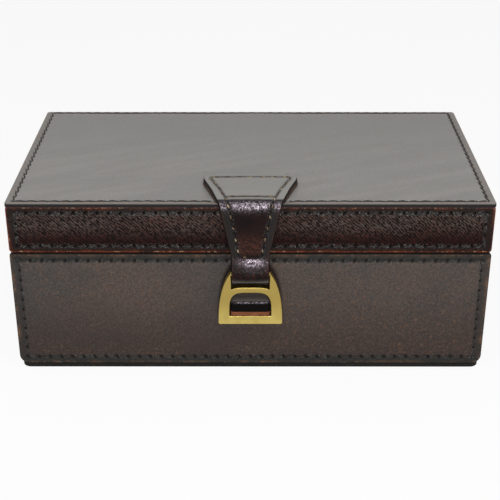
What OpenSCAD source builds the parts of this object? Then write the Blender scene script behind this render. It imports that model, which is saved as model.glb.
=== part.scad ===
// Leather jewellery case with a strap-and-stirrup closure, in millimetres.
// Frame: +X right, +Y towards the hinges, +Z up, origin on the table under the middle of the base.

/* [Case] */
// Width over the leather
case_w = 230; // [190:1:280]
// Depth over the leather, front to back
case_d = 128; // [105:1:160]
// Height of the body's rim above the table
body_h = 63.4; // [54:0.2:80]
// Height of the lid above the seam
lid_h = 26; // [21:0.2:34]
// Open gap along the seam
seam_gap = 0.4; // [0.3:0.1:0.8]

/* [Leather panels] */
// Thickness of the panel leather
leather_t = 2; // [1.6:0.1:2.6]
// Rounding of the panels' outer edges
edge_r = 1.2; // [0.6:0.1:1.5]
// Corner radius of the panels
corner_r = 1.8; // [1.6:0.2:3]
// Radius of the case's corners at the base
base_corner_r = 4.4; // [2:0.2:6]
// Gap between the sole and the body's panels
panel_gap = 0.1; // [0.05:0.05:0.3]

/* [Boards and sole] */
// Thickness of the body's wall boards
board_t = 4; // [3.4:0.2:6]
// Thickness of the bottom board
bottom_t = 4; // [3:0.5:6]
// Thickness of the lid's top board
lid_top_t = 4; // [3:0.5:6]
// Thickness of the sole leather under the base
sole_t = 2.2; // [1.2:0.1:2.8]
// Distance from the leather's outer face to the sole's edge
sole_inset = 0.8; // [0.4:0.1:2]

/* [Lining] */
// Thickness of the body's wall lining
lining_t = 2; // [1.4:0.1:3]
// Thickness of the floor lining
floor_lining_t = 1.5; // [1:0.1:3]
// Height of the lining's lip above the rim
lip_h = 4; // [2:0.5:6]
// Gap between the lip and the lid's wall boards
lip_clear = 0.6; // [0.4:0.1:1]
// Gap above the lip, under the lid's wall lining
lip_top_clear = 1; // [0.6:0.1:2]
// Thickness of the lid's wall lining
lid_lining_t = 1.2; // [0.8:0.1:2]
// Thickness of the lid's pad at its edge
pad_edge_t = 1.2; // [0.8:0.1:2]
// Extra thickness at the pad's crown
pad_crown = 2.4; // [1:0.1:4]
// Gap round the lid's pad and at the corners of its wall lining
pad_gap = 0.3; // [0.2:0.1:1]

/* [Inside fittings] */
// Thickness of the dividers
divider_t = 3; // [2:0.2:5]
// Height of the dividers above the floor lining
divider_h = 40; // [34:1:46]
// Clear width of the bay for rings
ring_bay_w = 74; // [60:1:90]
// Number of ring rolls
roll_count = 6; // [5:1:8]
// Gap between ring rolls
roll_gap = 0.6; // [0.4:0.1:1.5]
// Gap at the ends of a ring roll and under it
roll_seat = 0.2; // [0.1:0.1:0.5]
// Squareness of a ring roll's ends
roll_fullness = 5; // [3:0.5:8]
// Clearance in the dividers' halving joint
halving_clear = 0.1; // [0.05:0.05:0.3]

/* [Hinges] */
// Length of a hinge
hinge_l = 32; // [24:1:45]
// Distance of each hinge from the middle of the case
hinge_x = 72; // [55:1:82]
// Thickness of a hinge leaf
leaf_t = 0.9; // [0.7:0.1:1.3]
// Width of a leaf on the rim
leaf_w = 5.2; // [4.8:0.1:5.8]
// Gap between the two leaves
leaf_gap = 0.1; // [0.05:0.05:0.25]
// Radius of the hinge barrel
barrel_r = 2; // [1.7:0.1:3]
// Gap between the barrel and the back leather
barrel_clear = 0.3; // [0.2:0.1:0.6]
// Radius of the hinge pin
pin_r = 0.9; // [0.6:0.1:1.1]
// Running clearance round the pin
pin_clear = 0.05; // [0.02:0.01:0.1]
// Gap between knuckles
knuckle_gap = 0.2; // [0.1:0.1:0.5]
// Radius of a hinge screw
screw_r = 0.7; // [0.5:0.1:0.8]
// Radius of a screw's countersunk head
screw_head_r = 1.25; // [1:0.05:1.4]
// Length of a hinge screw
screw_l = 8; // [5:0.5:12]
// Clearance round a screw
screw_clear = 0.05; // [0.02:0.01:0.08]

/* [Stirrup] */
// Width of the stirrup at its foot
stirrup_w = 30.8; // [28:0.2:36]
// Thickness of the stirrup
stirrup_t = 4.2; // [4.1:0.1:5.5]
// Height of the stirrup's foot
foot_t = 4.4; // [3:0.1:6]
// Width of the stirrup's sides beside the eye
stirrup_side_t = 5.3; // [4:0.1:6]
// Height of the eye
eye_h = 12.8; // [11:0.1:16]
// Height of the crossbar between the eye and the slot
crossbar_t = 2.75; // [2:0.05:4]
// Open height of the slot under the strap's loop
slot_clear = 2.1; // [1:0.1:5]
// Gap between the strap's edge and the slot's side
slot_side_clear = 0.25; // [0.15:0.05:0.6]
// Width of the stirrup's shoulders at its bar
shoulder_t = 1; // [0.7:0.1:2]
// Rise of the outline's crown above the bar
arch_rise = 5.85; // [4:0.05:8]
// Radius of the bar that carries the strap
bar_r = 2; // [1.4:0.1:2]
// Running clearance between the bar and the strap's loop
bar_clear = 0.1; // [0.05:0.01:0.1]
// Squareness of the outer outline
outline_power = 2.4; // [2:0.1:3]
// Squareness of the eye
eye_power = 4; // [3:0.25:6]

/* [Strap] */
// Thickness of one strap layer
strap_t = 2; // [1.4:0.1:2.6]
// Gap between the hanging strap and the case
strap_gap = 0.3; // [0.2:0.05:0.6]
// Length of the tab on the lid, behind the front face
tab_l = 27.8; // [20:0.2:36]
// Width of the tab at its back end
tab_w = 49; // [42:0.5:60]
// Width of the strap at the lid's front edge
edge_w = 31.4; // [26:0.2:38]
// Corner radius of the tab's back end
tab_corner_r = 5; // [1:0.25:6]
// Thickness of the filler layer under the tab
filler_t = 1.5; // [1:0.1:2.4]
// Distance of the filler's front edge behind the front face
filler_setback = 3; // [2.5:0.25:6]
// Distance of the folded layer's end below the lid's top
fold_end_drop = 1; // [0.5:0.5:8]
// Drop of the bar below the rim
bar_drop = 8.4; // [7.5:0.1:14]
// Height of the cross stitching above the rim, where the two layers part
pinch_rise = 0.7; // [0:0.1:2]
// Length of strap sewn together under the cross stitching
pinch_l = 1.2; // [0.6:0.1:2]
// Inside radius of the strap's bend over the lid's edge
bend_r = 2.3; // [1.2:0.1:3]
// Gap at the crease where the strap bends over the lid's edge
crease_gap = 0.2; // [0.1:0.05:0.4]

/* [Catch] */
// Height of the catch block
catch_h = 6.3; // [5:0.1:9]
// Height of the bare cut edge under the catch's cover
catch_sole_h = 2.1; // [1:0.1:3]
// Thickness of the catch's cover
cover_t = 2; // [1.2:0.1:2.5]
// Rounding of the catch's front corners
catch_corner_r = 2; // [1:0.1:3]
// How far the catch stands in front of the stirrup
catch_proud = 0.5; // [0:0.1:1.5]
// Gap between the catch and the stirrup's foot
catch_gap = 0.5; // [0.4:0.05:1]
// Gap between the catch's ends and the eye
catch_side_gap = 0.55; // [0.4:0.05:1]

/* [Hidden] */
roll_names = [for (i = [1:roll_count]) str("ring_roll_", i)];

$fn = 48;
// Reach of a cutting tool past the faces that it cuts
cut = 1;
// Steps of a panel's rounded edge, and sides of its rounded corners
edge_steps = 4;
corner_sides = 32;
// Steps of a superellipse, of a roll's profile and of the tab's rounded corners
curve_steps = 44;
roll_steps = 16;
tab_corner_steps = 6;
// Cells of the lid's pad along its width and depth
pad_cells = [18, 12];

// Colours of the materials
leather_dark = "#3a2420";
leather_body = "#4a3a35";
leather_tan = "#7a4530";
wood = "#4d3a2b";
suede = "#7d5a3f";
brass = "#c9b358";

// Levels of the body and the lid
panel_z = sole_t + panel_gap;
lid_z = body_h + seam_gap;
case_h = lid_z + lid_h;
lid_board_z = case_h - leather_t - lid_top_t;
front_y = -case_d / 2;
back_y = case_d / 2;

// Outer faces of the boards, inner faces of the body's boards, and the lined cavity
board_x = case_w / 2 - leather_t;
board_y = case_d / 2 - leather_t;
inner_x = board_x - board_t;
inner_y = board_y - board_t;
cavity_x = inner_x - lining_t;
cavity_y = inner_y - lining_t;
floor_z = sole_t + bottom_t;
lining_z = floor_z + floor_lining_t;
lip_z = body_h + lip_h;

// Lid walls are thinner than the body's, so that they clear the lip
lid_wall_t = board_t - lip_clear;
lid_inner_x = board_x - lid_wall_t;
lid_inner_y = board_y - lid_wall_t;

// Inside fittings
ring_divider_x = -cavity_x + ring_bay_w;
right_bay_x = ring_divider_x + divider_t;
cross_divider_x = (right_bay_x + cavity_x - divider_t) / 2;
roll_pitch = 2 * cavity_y / roll_count;
roll_r = (roll_pitch - roll_gap) / 2;
ring_bed_h = divider_h - 2 * roll_r - roll_seat;

// Hinges
hinge_y = back_y + barrel_clear + barrel_r;
hinge_z = body_h + seam_gap / 2;
screw_y = back_y - leather_t - (leaf_w - leather_t) / 2;
screw_pitch = hinge_l / 2;
head_h = screw_head_r - screw_r;

// Stirrup: heights above its foot, half widths, and the loop that passes its slot
loop_r = bar_r + bar_clear + strap_t;
bar_h = foot_t + eye_h + crossbar_t + slot_clear + loop_r;
arch_h = bar_h + arch_rise;
eye_hw = stirrup_w / 2 - stirrup_side_t;
slot_hw = superellipse_x(bar_h, stirrup_w / 2, arch_h, outline_power) - shoulder_t;
loop_hw = slot_hw - slot_side_clear;

// Strap profile: u is the distance in front of the case, z the height above the table
bar_u = strap_gap + loop_r;
bar_z = body_h - bar_drop;
pinch_z = body_h + pinch_rise;
layer_u = strap_gap + strap_t;
face_u = strap_gap + 2 * strap_t;
bend_u = layer_u - bend_r;
bend_z = case_h + filler_t - bend_r;
bend_outer_r = bend_r + strap_t;
crease_u = bend_u + bend_outer_r * cos(45);
crease_z = bend_z + bend_outer_r * sin(45);
tab_taper = (tab_w - edge_w) / 2 / tab_l;
crease_hw = edge_w / 2 - tab_taper * crease_u;
tongue_taper = (crease_hw - loop_hw) / (crease_z - pinch_z);
stirrup_z = bar_z - bar_h;

// Catch
catch_z = stirrup_z + foot_t + catch_gap;
catch_d = bar_u + stirrup_t / 2 + catch_proud;
catch_hw = eye_hw - catch_side_gap;

// Half width of a superellipse of half width a and height b, at height h
function superellipse_x(h, a, b, n) = a * pow(1 - pow(h / b, n), 1 / n);
// Upper half of a superellipse, from the right end over the top to the left end
function superellipse(a, b, n) = [
    for (i = [0:curve_steps])
        let (t = 180 * i / curve_steps, c = cos(t))
        [a * sign(c) * pow(abs(c), 2 / n), b * pow(sin(t), 2 / n)]
];
// Point where the line from p touches the circle of radius r about c, on the side away from the case
function tangent_point(p, c, r) =
    let (v = p - c, a = atan2(v[1], v[0]) - acos(r / norm(v)))
    c + r * [cos(a), sin(a)];

// A box between two corners
module block(low, high) {
    translate(low) cube(high - low);
}

// Carries a (u, z) profile along X, centred, in front of the case
module along_front(length) {
    translate([-length / 2, front_y, 0]) mirror([0, 1, 0])
        rotate([90, 0, 90]) linear_extrude(length) children();
}

// Carries a (y, z) profile along X from x
module along_x(x, length) {
    translate([x, 0, 0]) rotate([90, 0, 90]) linear_extrude(length) children();
}

// Carries an (x, z) profile along Y from y
module along_y(y, length) {
    translate([0, y + length, 0]) rotate([90, 0, 0]) linear_extrude(length) children();
}

// Section of an upright card of thickness t and height h with a round top edge
module round_top(t, h) {
    square([t, h - t / 2]);
    translate([t / 2, h - t / 2]) circle(t / 2);
}

// Rectangle with rounded corners, from -half to half
module rounded_plan(half, r) {
    for (inset = [[r, 0], [0, r]])
        translate(inset - half) square(2 * (half - inset));
    for (x = [-1, 1], y = [-1, 1])
        translate([x * (half[0] - r), y * (half[1] - r)]) circle(r);
}

// Rounded post that makes one corner of a panel
module panel_post(r) {
    edge = min(edge_r, leather_t);
    arc = [for (i = [0:edge_steps])
        let (a = 90 * i / edge_steps)
        [r - edge + edge * cos(a), leather_t - edge + edge * sin(a)]];
    rotate_extrude($fn = corner_sides) polygon(concat([[0, 0], [r, 0]], arc, [[0, leather_t]]));
}

// Leather panel lying flat, its rounded outer face up, centred over x and from 0 to h along y
module panel(w, h, low_r) {
    hull()
        for (x = [-1, 1]) {
            translate([x * (w / 2 - low_r), low_r, 0]) panel_post(low_r);
            translate([x * (w / 2 - corner_r), h - corner_r, 0]) panel_post(corner_r);
        }
}

// Upright panel facing the front, between two heights
module front_panel(low, high, low_r) {
    translate([0, front_y + leather_t, low]) rotate([90, 0, 0]) panel(case_w, high - low, low_r);
}

// Upright panel facing the right, between two heights, between the front and back panels
module right_panel(low, high, low_r) {
    translate([case_w / 2 - leather_t, 0, low]) rotate([90, 0, 90])
        panel(case_d - 2 * leather_t, high - low, low_r);
}

// Base

module base_sole() {
    half = [case_w, case_d] / 2 - sole_inset * [1, 1];
    color(leather_tan) linear_extrude(sole_t) rounded_plan(half, base_corner_r);
}

// Body boards: the front and back run the full width, the sides and the bottom fit between

module case_bottom_board() {
    color(wood) block([-inner_x, -inner_y, sole_t], [inner_x, inner_y, floor_z]);
}

// Front or back board's outline, with its lower corners rounded like the leather's
module long_board(y) {
    r = base_corner_r;
    along_y(y, board_t) {
        translate([-board_x, sole_t + r]) square([2 * board_x, body_h - sole_t - r]);
        translate([r - board_x, sole_t]) square([2 * (board_x - r), body_h - sole_t]);
        for (side = [-1, 1])
            translate([side * (board_x - r), sole_t + r]) circle(r);
    }
}

module case_front_board() {
    color(wood) long_board(-board_y);
}

module case_back_board() {
    color(wood) difference() {
        long_board(inner_y);
        case_mortises();
        hinge_screws(-1, screw_clear);
    }
}

module case_left_board() {
    color(wood) block([-board_x, -inner_y, sole_t], [-inner_x, inner_y, body_h]);
}

module case_right_board() {
    mirror([1, 0, 0]) case_left_board();
}

// Body leather

module case_front_leather() {
    color(leather_body) front_panel(panel_z, body_h, base_corner_r);
}

module case_back_leather() {
    color(leather_body) difference() {
        mirror([0, 1, 0]) front_panel(panel_z, body_h, base_corner_r);
        case_mortises();
    }
}

module case_right_leather() {
    color(leather_body) right_panel(panel_z, body_h, base_corner_r);
}

module case_left_leather() {
    mirror([1, 0, 0]) case_right_leather();
}

// Body lining

module floor_lining() {
    color(suede) block([-inner_x, -inner_y, floor_z], [inner_x, inner_y, lining_z]);
}

module front_lining() {
    color(suede) along_x(-inner_x, 2 * inner_x)
        translate([-inner_y, lining_z]) round_top(lining_t, lip_z - lining_z);
}

module back_lining() {
    mirror([0, 1, 0]) front_lining();
}

module left_lining() {
    color(suede) along_y(-cavity_y, 2 * cavity_y)
        translate([-inner_x, lining_z]) round_top(lining_t, lip_z - lining_z);
}

module right_lining() {
    mirror([1, 0, 0]) left_lining();
}

// Dividers: the long and cross ones meet in a halving joint

module ring_divider() {
    color(suede) along_y(-cavity_y, 2 * cavity_y)
        translate([ring_divider_x, lining_z]) round_top(divider_t, divider_h);
}

module long_divider() {
    color(suede) difference() {
        along_x(right_bay_x, cavity_x - right_bay_x)
            translate([-divider_t / 2, lining_z]) round_top(divider_t, divider_h);
        block([cross_divider_x - halving_clear, -divider_t, lining_z + divider_h / 2],
              [cross_divider_x + divider_t + halving_clear, divider_t, lining_z + divider_h + cut]);
    }
}

module cross_divider() {
    color(suede) difference() {
        along_y(-cavity_y, 2 * cavity_y)
            translate([cross_divider_x, lining_z]) round_top(divider_t, divider_h);
        block([cross_divider_x - cut, -divider_t / 2 - halving_clear, lining_z - cut],
              [cross_divider_x + divider_t + cut, divider_t / 2 + halving_clear, lining_z + divider_h / 2]);
    }
}

// Ring bay: a soft bed and a row of rolls that hold rings between them

module ring_bed() {
    color(suede) block([-cavity_x, -cavity_y, lining_z], [ring_divider_x, cavity_y, lining_z + ring_bed_h]);
}

module ring_roll(i) {
    half_l = ring_bay_w / 2 - roll_seat;
    profile = [for (k = [0:roll_steps])
        let (t = 180 * k / roll_steps)
        [roll_r * pow(sin(t), 2 / roll_fullness),
         half_l * sign(cos(t)) * pow(abs(cos(t)), 2 / roll_fullness)]];
    color(suede)
        translate([-cavity_x + ring_bay_w / 2, -cavity_y + (i - 0.5) * roll_pitch,
                   lining_z + ring_bed_h + roll_seat + roll_r])
            rotate([0, 90, 0]) rotate_extrude() polygon(profile);
}

// Catch: a leather block on the body's front, standing in the stirrup's eye

module catch_core() {
    color(leather_tan) catch_ends() {
        translate([0, catch_z]) square([catch_d, catch_sole_h]);
        translate([0, catch_z]) square([catch_d - cover_t, catch_h - cover_t]);
    }
}

module catch_cover() {
    color(leather_dark) catch_ends() difference() {
        union() {
            translate([0, catch_z]) square([catch_d, catch_h - cover_t]);
            translate([0, catch_z]) square([catch_d - cover_t, catch_h]);
            translate([catch_d - cover_t, catch_z + catch_h - cover_t]) circle(cover_t);
        }
        translate([-cut, catch_z - cut]) square([catch_d + 2 * cut, catch_sole_h + cut]);
        translate([-cut, catch_z]) square([catch_d - cover_t + cut, catch_h - cover_t]);
    }
}

// Carries a (u, z) profile over the catch's width and rounds its front corners in plan
module catch_ends() {
    intersection() {
        along_front(2 * catch_hw) children();
        translate([0, front_y, catch_z - cut]) linear_extrude(catch_h + 2 * cut) union() {
            translate([-catch_hw, catch_corner_r - catch_d]) square([2 * catch_hw, catch_d - catch_corner_r]);
            translate([catch_corner_r - catch_hw, -catch_d])
                square([2 * (catch_hw - catch_corner_r), catch_d]);
            for (side = [-1, 1])
                translate([side * (catch_hw - catch_corner_r), catch_corner_r - catch_d])
                    circle(catch_corner_r);
        }
    }
}

// Hinges: two butt hinges, their leaves let into the rims, their barrels behind the back leather

// Places a child at each hinge
module at_hinges() {
    for (side = [-1, 1])
        translate([side * hinge_x, 0, 0]) children();
}

// Knuckles and leaf of one hinge half; side is -1 for the body, which has the outer knuckles, 1 for the lid
module hinge_half(side) {
    third = hinge_l / 3;
    spans = side < 0
        ? [[-hinge_l / 2, third - knuckle_gap / 2], [third / 2 + knuckle_gap / 2, third - knuckle_gap / 2]]
        : [[-third / 2 + knuckle_gap / 2, third - knuckle_gap]];
    inner = side * leaf_gap / 2;
    outer = side * (leaf_gap / 2 + leaf_t);
    low = hinge_z + min(inner, outer);
    high = hinge_z + max(inner, outer);
    difference() {
        union() {
            block([-hinge_l / 2, back_y - leaf_w, low], [hinge_l / 2, back_y, high]);
            for (span = spans) {
                block([span[0], back_y - cut, low], [span[0] + span[1], hinge_y, high]);
                translate([span[0], hinge_y, hinge_z]) rotate([0, 90, 0]) cylinder(r = barrel_r, h = span[1]);
            }
        }
        translate([-hinge_l, hinge_y, hinge_z]) rotate([0, 90, 0])
            cylinder(r = pin_r + pin_clear, h = 2 * hinge_l);
        leaf_screws(side, screw_clear);
    }
}

// Countersunk screws of one leaf, flush with its face, grown by a clearance
module leaf_screws(side, clear) {
    for (x = [-screw_pitch / 2, screw_pitch / 2])
        translate([x, screw_y, hinge_z + side * leaf_gap / 2])
            mirror([0, 0, side < 0 ? 0 : 1]) {
                translate([0, 0, -screw_l - clear]) cylinder(r = screw_r + clear, h = screw_l + clear);
                translate([0, 0, -head_h])
                    cylinder(r1 = screw_r + clear, r2 = screw_head_r + clear, h = head_h);
            }
}

module hinge_screws(side, clear) {
    at_hinges() leaf_screws(side, clear);
}

// Recesses for the leaves
module case_mortises() {
    at_hinges()
        block([-hinge_l / 2, back_y - leaf_w, hinge_z - leaf_gap / 2 - leaf_t],
              [hinge_l / 2, back_y + cut, body_h + cut]);
}

module lid_mortises() {
    at_hinges()
        block([-hinge_l / 2, back_y - leaf_w, lid_z - cut],
              [hinge_l / 2, back_y + cut, hinge_z + leaf_gap / 2 + leaf_t]);
}

module hinge_case_leaves() {
    color(brass) at_hinges() hinge_half(-1);
}

module hinge_lid_leaves() {
    color(brass) at_hinges() hinge_half(1);
}

module hinge_pins() {
    color(brass) at_hinges()
        translate([-hinge_l / 2, hinge_y, hinge_z]) rotate([0, 90, 0]) cylinder(r = pin_r, h = hinge_l);
}

module hinge_case_screws() {
    color(brass) hinge_screws(-1, 0);
}

module hinge_lid_screws() {
    color(brass) hinge_screws(1, 0);
}

// Lid boards

module lid_top_board() {
    color(wood) block([-board_x, -board_y, lid_board_z], [board_x, board_y, case_h - leather_t]);
}

module lid_front_board() {
    color(wood) block([-board_x, -board_y, lid_z], [board_x, -lid_inner_y, lid_board_z]);
}

module lid_back_board() {
    color(wood) difference() {
        block([-board_x, lid_inner_y, lid_z], [board_x, board_y, lid_board_z]);
        lid_mortises();
        hinge_screws(1, screw_clear);
    }
}

module lid_left_board() {
    color(wood) block([-board_x, -lid_inner_y, lid_z], [-lid_inner_x, lid_inner_y, lid_board_z]);
}

module lid_right_board() {
    mirror([1, 0, 0]) lid_left_board();
}

// Lid leather

module lid_top_leather() {
    color(leather_dark) translate([0, front_y, case_h - leather_t]) panel(case_w, case_d, corner_r);
}

module lid_front_leather() {
    color(leather_dark) front_panel(lid_z, case_h - leather_t, corner_r);
}

module lid_back_leather() {
    color(leather_dark) difference() {
        mirror([0, 1, 0]) front_panel(lid_z, case_h - leather_t, corner_r);
        lid_mortises();
    }
}

module lid_right_leather() {
    color(leather_dark) right_panel(lid_z, case_h - leather_t, corner_r);
}

module lid_left_leather() {
    mirror([1, 0, 0]) lid_right_leather();
}

// Lid lining

module lid_wall_lining() {
    low = lip_z + lip_top_clear;
    y = lid_inner_y - lid_lining_t;
    color(suede) for (side = [0, 1]) {
        mirror([0, side, 0]) block([-lid_inner_x, -lid_inner_y, low], [lid_inner_x, -y, lid_board_z]);
        mirror([side, 0, 0])
            block([-lid_inner_x, pad_gap - y, low], [lid_lining_t - lid_inner_x, y - pad_gap, lid_board_z]);
    }
}

// Padded ceiling: flat against the top board, crowned downwards
module lid_pad() {
    half = [lid_inner_x, lid_inner_y] - (lid_lining_t + pad_gap) * [1, 1];
    row = pad_cells[0] + 1;
    layer = row * (pad_cells[1] + 1);
    points = [for (top = [0, 1], j = [0:pad_cells[1]], i = [0:pad_cells[0]])
        let (s = 2 * i / pad_cells[0] - 1, t = 2 * j / pad_cells[1] - 1,
             drop = pad_edge_t + pad_crown * (1 - pow(s, 4)) * (1 - pow(t, 4)))
        [half[0] * s, half[1] * t, lid_board_z - (top ? 0 : drop)]];
    quads = concat(
        [for (j = [0:pad_cells[1] - 1], i = [0:pad_cells[0] - 1])
            let (a = j * row + i) [a, a + 1, a + row + 1, a + row]],
        [for (j = [0:pad_cells[1] - 1], i = [0:pad_cells[0] - 1])
            let (a = layer + j * row + i) [a, a + row, a + row + 1, a + 1]],
        [for (i = [0:pad_cells[0] - 1]) [i + 1, i, layer + i, layer + i + 1]],
        [for (i = [0:pad_cells[0] - 1]) let (a = layer - row + i) [a, a + 1, layer + a + 1, layer + a]],
        [for (j = [0:pad_cells[1] - 1]) let (a = j * row) [a, a + row, layer + a + row, layer + a]],
        [for (j = [0:pad_cells[1] - 1])
            let (a = j * row + row - 1) [a + row, a, layer + a, layer + a + row]]);
    triangles = [for (q = quads, k = [1, 2]) [q[0], q[k], q[k + 1]]];
    color(suede) polyhedron(points, triangles);
}

// Closure strap: its outer layer runs from the tab's end, over the lid's edge and down to the stirrup's bar,
// round which it is folded; the crease at the lid's edge parts the tab from the tongue

// Plan of the tab, narrowing towards the front; y is measured from the front face
module tab_plan(front) {
    lean = atan(tab_taper);
    r = tab_corner_r;
    centre = [tab_w / 2 - tab_taper * r - r / cos(lean), tab_l - r];
    front_hw = tab_w / 2 - tab_taper * (tab_l - front);
    right = concat([[front_hw, front]], [for (i = [0:tab_corner_steps])
        let (a = (90 + lean) * i / tab_corner_steps - lean)
        centre + r * [cos(a), sin(a)]]);
    polygon(concat(right, [for (i = [len(right) - 1:-1:0]) [-right[i][0], right[i][1]]]));
}

// Ring of the strap's bend, cut at the crease; side is 1 for the tab's half, -1 for the tongue's
module bend_half(side) {
    reach = 2 * bend_outer_r;
    gap = crease_gap / 2;
    intersection() {
        translate([bend_u, bend_z]) difference() {
            circle(bend_outer_r);
            circle(bend_r);
        }
        translate([bend_u, bend_z]) intersection() {
            square(reach);
            rotate(45) translate([0, side > 0 ? gap : -reach - gap]) square(reach);
        }
    }
}

// Section of the tab: flat over the filler, with its half of the bend
module tab_profile() {
    translate([-tab_l, case_h + filler_t]) square([tab_l + bend_u, strap_t]);
    bend_half(1);
}

module strap_tab() {
    color(leather_dark) intersection() {
        along_front(tab_w) tab_profile();
        translate([0, front_y, case_h]) linear_extrude(filler_t + 2 * strap_t) tab_plan(-bend_u - bend_outer_r);
    }
}

module strap_tab_filler() {
    color(leather_tan) translate([0, front_y, case_h]) linear_extrude(filler_t) tab_plan(filler_setback);
}

// Section of the tongue: the outer layer, and the fold round the bar that comes back up behind it
module tongue_profile() {
    centre = [bar_u, bar_z];
    fold_end_z = case_h - fold_end_drop;
    outer_touch = tangent_point([face_u, pinch_z], centre, loop_r);
    apex = [layer_u, pinch_z - pinch_l];
    inner_touch = tangent_point(apex, centre, bar_r + bar_clear);
    difference() {
        union() {
            polygon([centre, [strap_gap, bar_z], [strap_gap, fold_end_z], [layer_u, fold_end_z],
                     [layer_u, bend_z], [face_u, bend_z], [face_u, pinch_z], outer_touch]);
            translate(centre) circle(loop_r);
        }
        translate(centre) circle(bar_r + bar_clear);
        polygon([[layer_u, bar_z], apex, inner_touch, centre]);
    }
}

// Front view of the tongue: tapered down to the cross stitching, straight below it
module tongue_elevation() {
    low = bar_z - 2 * loop_r;
    high = bend_z + 2 * bend_outer_r;
    high_hw = crease_hw + tongue_taper * (high - crease_z);
    polygon([[-loop_hw, low], [loop_hw, low], [loop_hw, pinch_z], [high_hw, high], [-high_hw, high],
             [-loop_hw, pinch_z]]);
}

module strap_tongue() {
    color(leather_dark) intersection() {
        union() {
            along_front(tab_w) tongue_profile();
            along_front(tab_w) bend_half(-1);
        }
        along_y(front_y - bar_u - 2 * loop_r, bar_u + 3 * loop_r) tongue_elevation();
    }
}

// Stirrup: one casting with a bar for the strap, a slot, an eye for the catch and a flat foot
module stirrup() {
    color(brass) translate([0, front_y - bar_u, stirrup_z]) {
        translate([0, stirrup_t / 2, 0]) rotate([90, 0, 0]) linear_extrude(stirrup_t) difference() {
            polygon(superellipse(stirrup_w / 2, arch_h, outline_power));
            translate([0, foot_t]) polygon(superellipse(eye_hw, eye_h, eye_power));
            difference() {
                translate([-slot_hw, foot_t + eye_h / 2]) square([2 * slot_hw, arch_h]);
                translate([0, foot_t])
                    polygon(superellipse(eye_hw + crossbar_t, eye_h + crossbar_t, eye_power));
            }
        }
        translate([-slot_hw - shoulder_t / 2, 0, bar_h]) rotate([0, 90, 0])
            cylinder(r = bar_r, h = 2 * slot_hw + shoulder_t);
    }
}

base_sole();
case_bottom_board();
case_front_board();
case_back_board();
case_left_board();
case_right_board();
case_front_leather();
case_back_leather();
case_left_leather();
case_right_leather();
floor_lining();
front_lining();
back_lining();
left_lining();
right_lining();
ring_divider();
long_divider();
cross_divider();
ring_bed();
for (i = [1:roll_count])
    ring_roll(i);
catch_core();
catch_cover();
hinge_case_leaves();
hinge_pins();
hinge_case_screws();
lid_top_board();
lid_front_board();
lid_back_board();
lid_left_board();
lid_right_board();
lid_top_leather();
lid_front_leather();
lid_back_leather();
lid_left_leather();
lid_right_leather();
lid_wall_lining();
lid_pad();
hinge_lid_leaves();
hinge_lid_screws();
strap_tab();
strap_tab_filler();
strap_tongue();
stirrup();
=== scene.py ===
import math

import bmesh
import bpy
import numpy as np
from mathutils import Matrix, Vector


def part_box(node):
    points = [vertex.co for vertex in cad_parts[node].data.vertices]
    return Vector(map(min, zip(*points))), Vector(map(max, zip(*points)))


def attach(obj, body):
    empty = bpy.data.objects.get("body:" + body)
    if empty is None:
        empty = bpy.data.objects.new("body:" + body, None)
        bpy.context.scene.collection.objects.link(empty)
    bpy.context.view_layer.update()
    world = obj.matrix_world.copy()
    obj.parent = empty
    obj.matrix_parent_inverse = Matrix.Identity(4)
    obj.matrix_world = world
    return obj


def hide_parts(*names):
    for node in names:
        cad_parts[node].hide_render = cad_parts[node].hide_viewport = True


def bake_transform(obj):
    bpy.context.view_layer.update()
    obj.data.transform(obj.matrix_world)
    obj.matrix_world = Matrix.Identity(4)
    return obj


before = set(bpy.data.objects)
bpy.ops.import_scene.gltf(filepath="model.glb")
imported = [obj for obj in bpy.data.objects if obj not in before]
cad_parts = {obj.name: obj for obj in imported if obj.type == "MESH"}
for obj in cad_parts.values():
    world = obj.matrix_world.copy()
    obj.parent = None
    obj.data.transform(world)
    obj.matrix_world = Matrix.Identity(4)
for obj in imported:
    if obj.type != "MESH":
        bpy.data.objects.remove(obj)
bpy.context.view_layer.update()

# A leather jewellery case with a strap and stirrup closure.
# X runs along the front, Y towards the back, Z up; the origin is the middle of the base.
# Lengths are metres, written as millimetres times MM. Distances in the leather's attributes are millimetres.
MM = 0.001

# Camera, fitted to the photograph.
CAMERA_PLACE = (0.33 * MM, -544.08 * MM, 304.77 * MM)
CAMERA_PITCH = math.radians(26.4695)
CAMERA_YAW = math.radians(-0.0594)
CAMERA_ROLL = math.radians(-0.0026)
CAMERA_LENS = 81.27
CAMERA_SENSOR = 36.0
CAMERA_NEAR = 10 * MM

# Leather panels.
PANEL_STEP = 0.7 * MM
EDGE_LINES = 6
WALL_LINES = 3
HOLE_WIDTH = 0.8 * MM
GROOVE_WIDTH = 0.75 * MM
PUCKER_WIDTH = 1.9 * MM
UPRIGHT_FADE = 3.0 * MM
POLISH_INSET = 0.4 * MM
POLISH_WIDTH = 0.3 * MM
POLISH_REACH = 2.0 * MM
PANEL_CREASE_ANGLE = 55

# Dark saddle stitch on the panels.
STITCH_PITCH = 5.5 * MM
STITCH_LENGTH = 4.3 * MM
STITCH_RADIUS = 0.42 * MM
TOP_STITCH_LENGTH = 4.6 * MM
TOP_STITCH_RADIUS = 0.35 * MM
STITCH_SLANT = math.radians(12)
THREAD_RINGS = 7
THREAD_SIDES = 6
THREAD_THINNING = 0.6
THREAD_SINK = 0.6
TURN_SPREAD = math.radians(2.5)
DEPTH_SPREAD = 0.05 * MM

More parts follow.
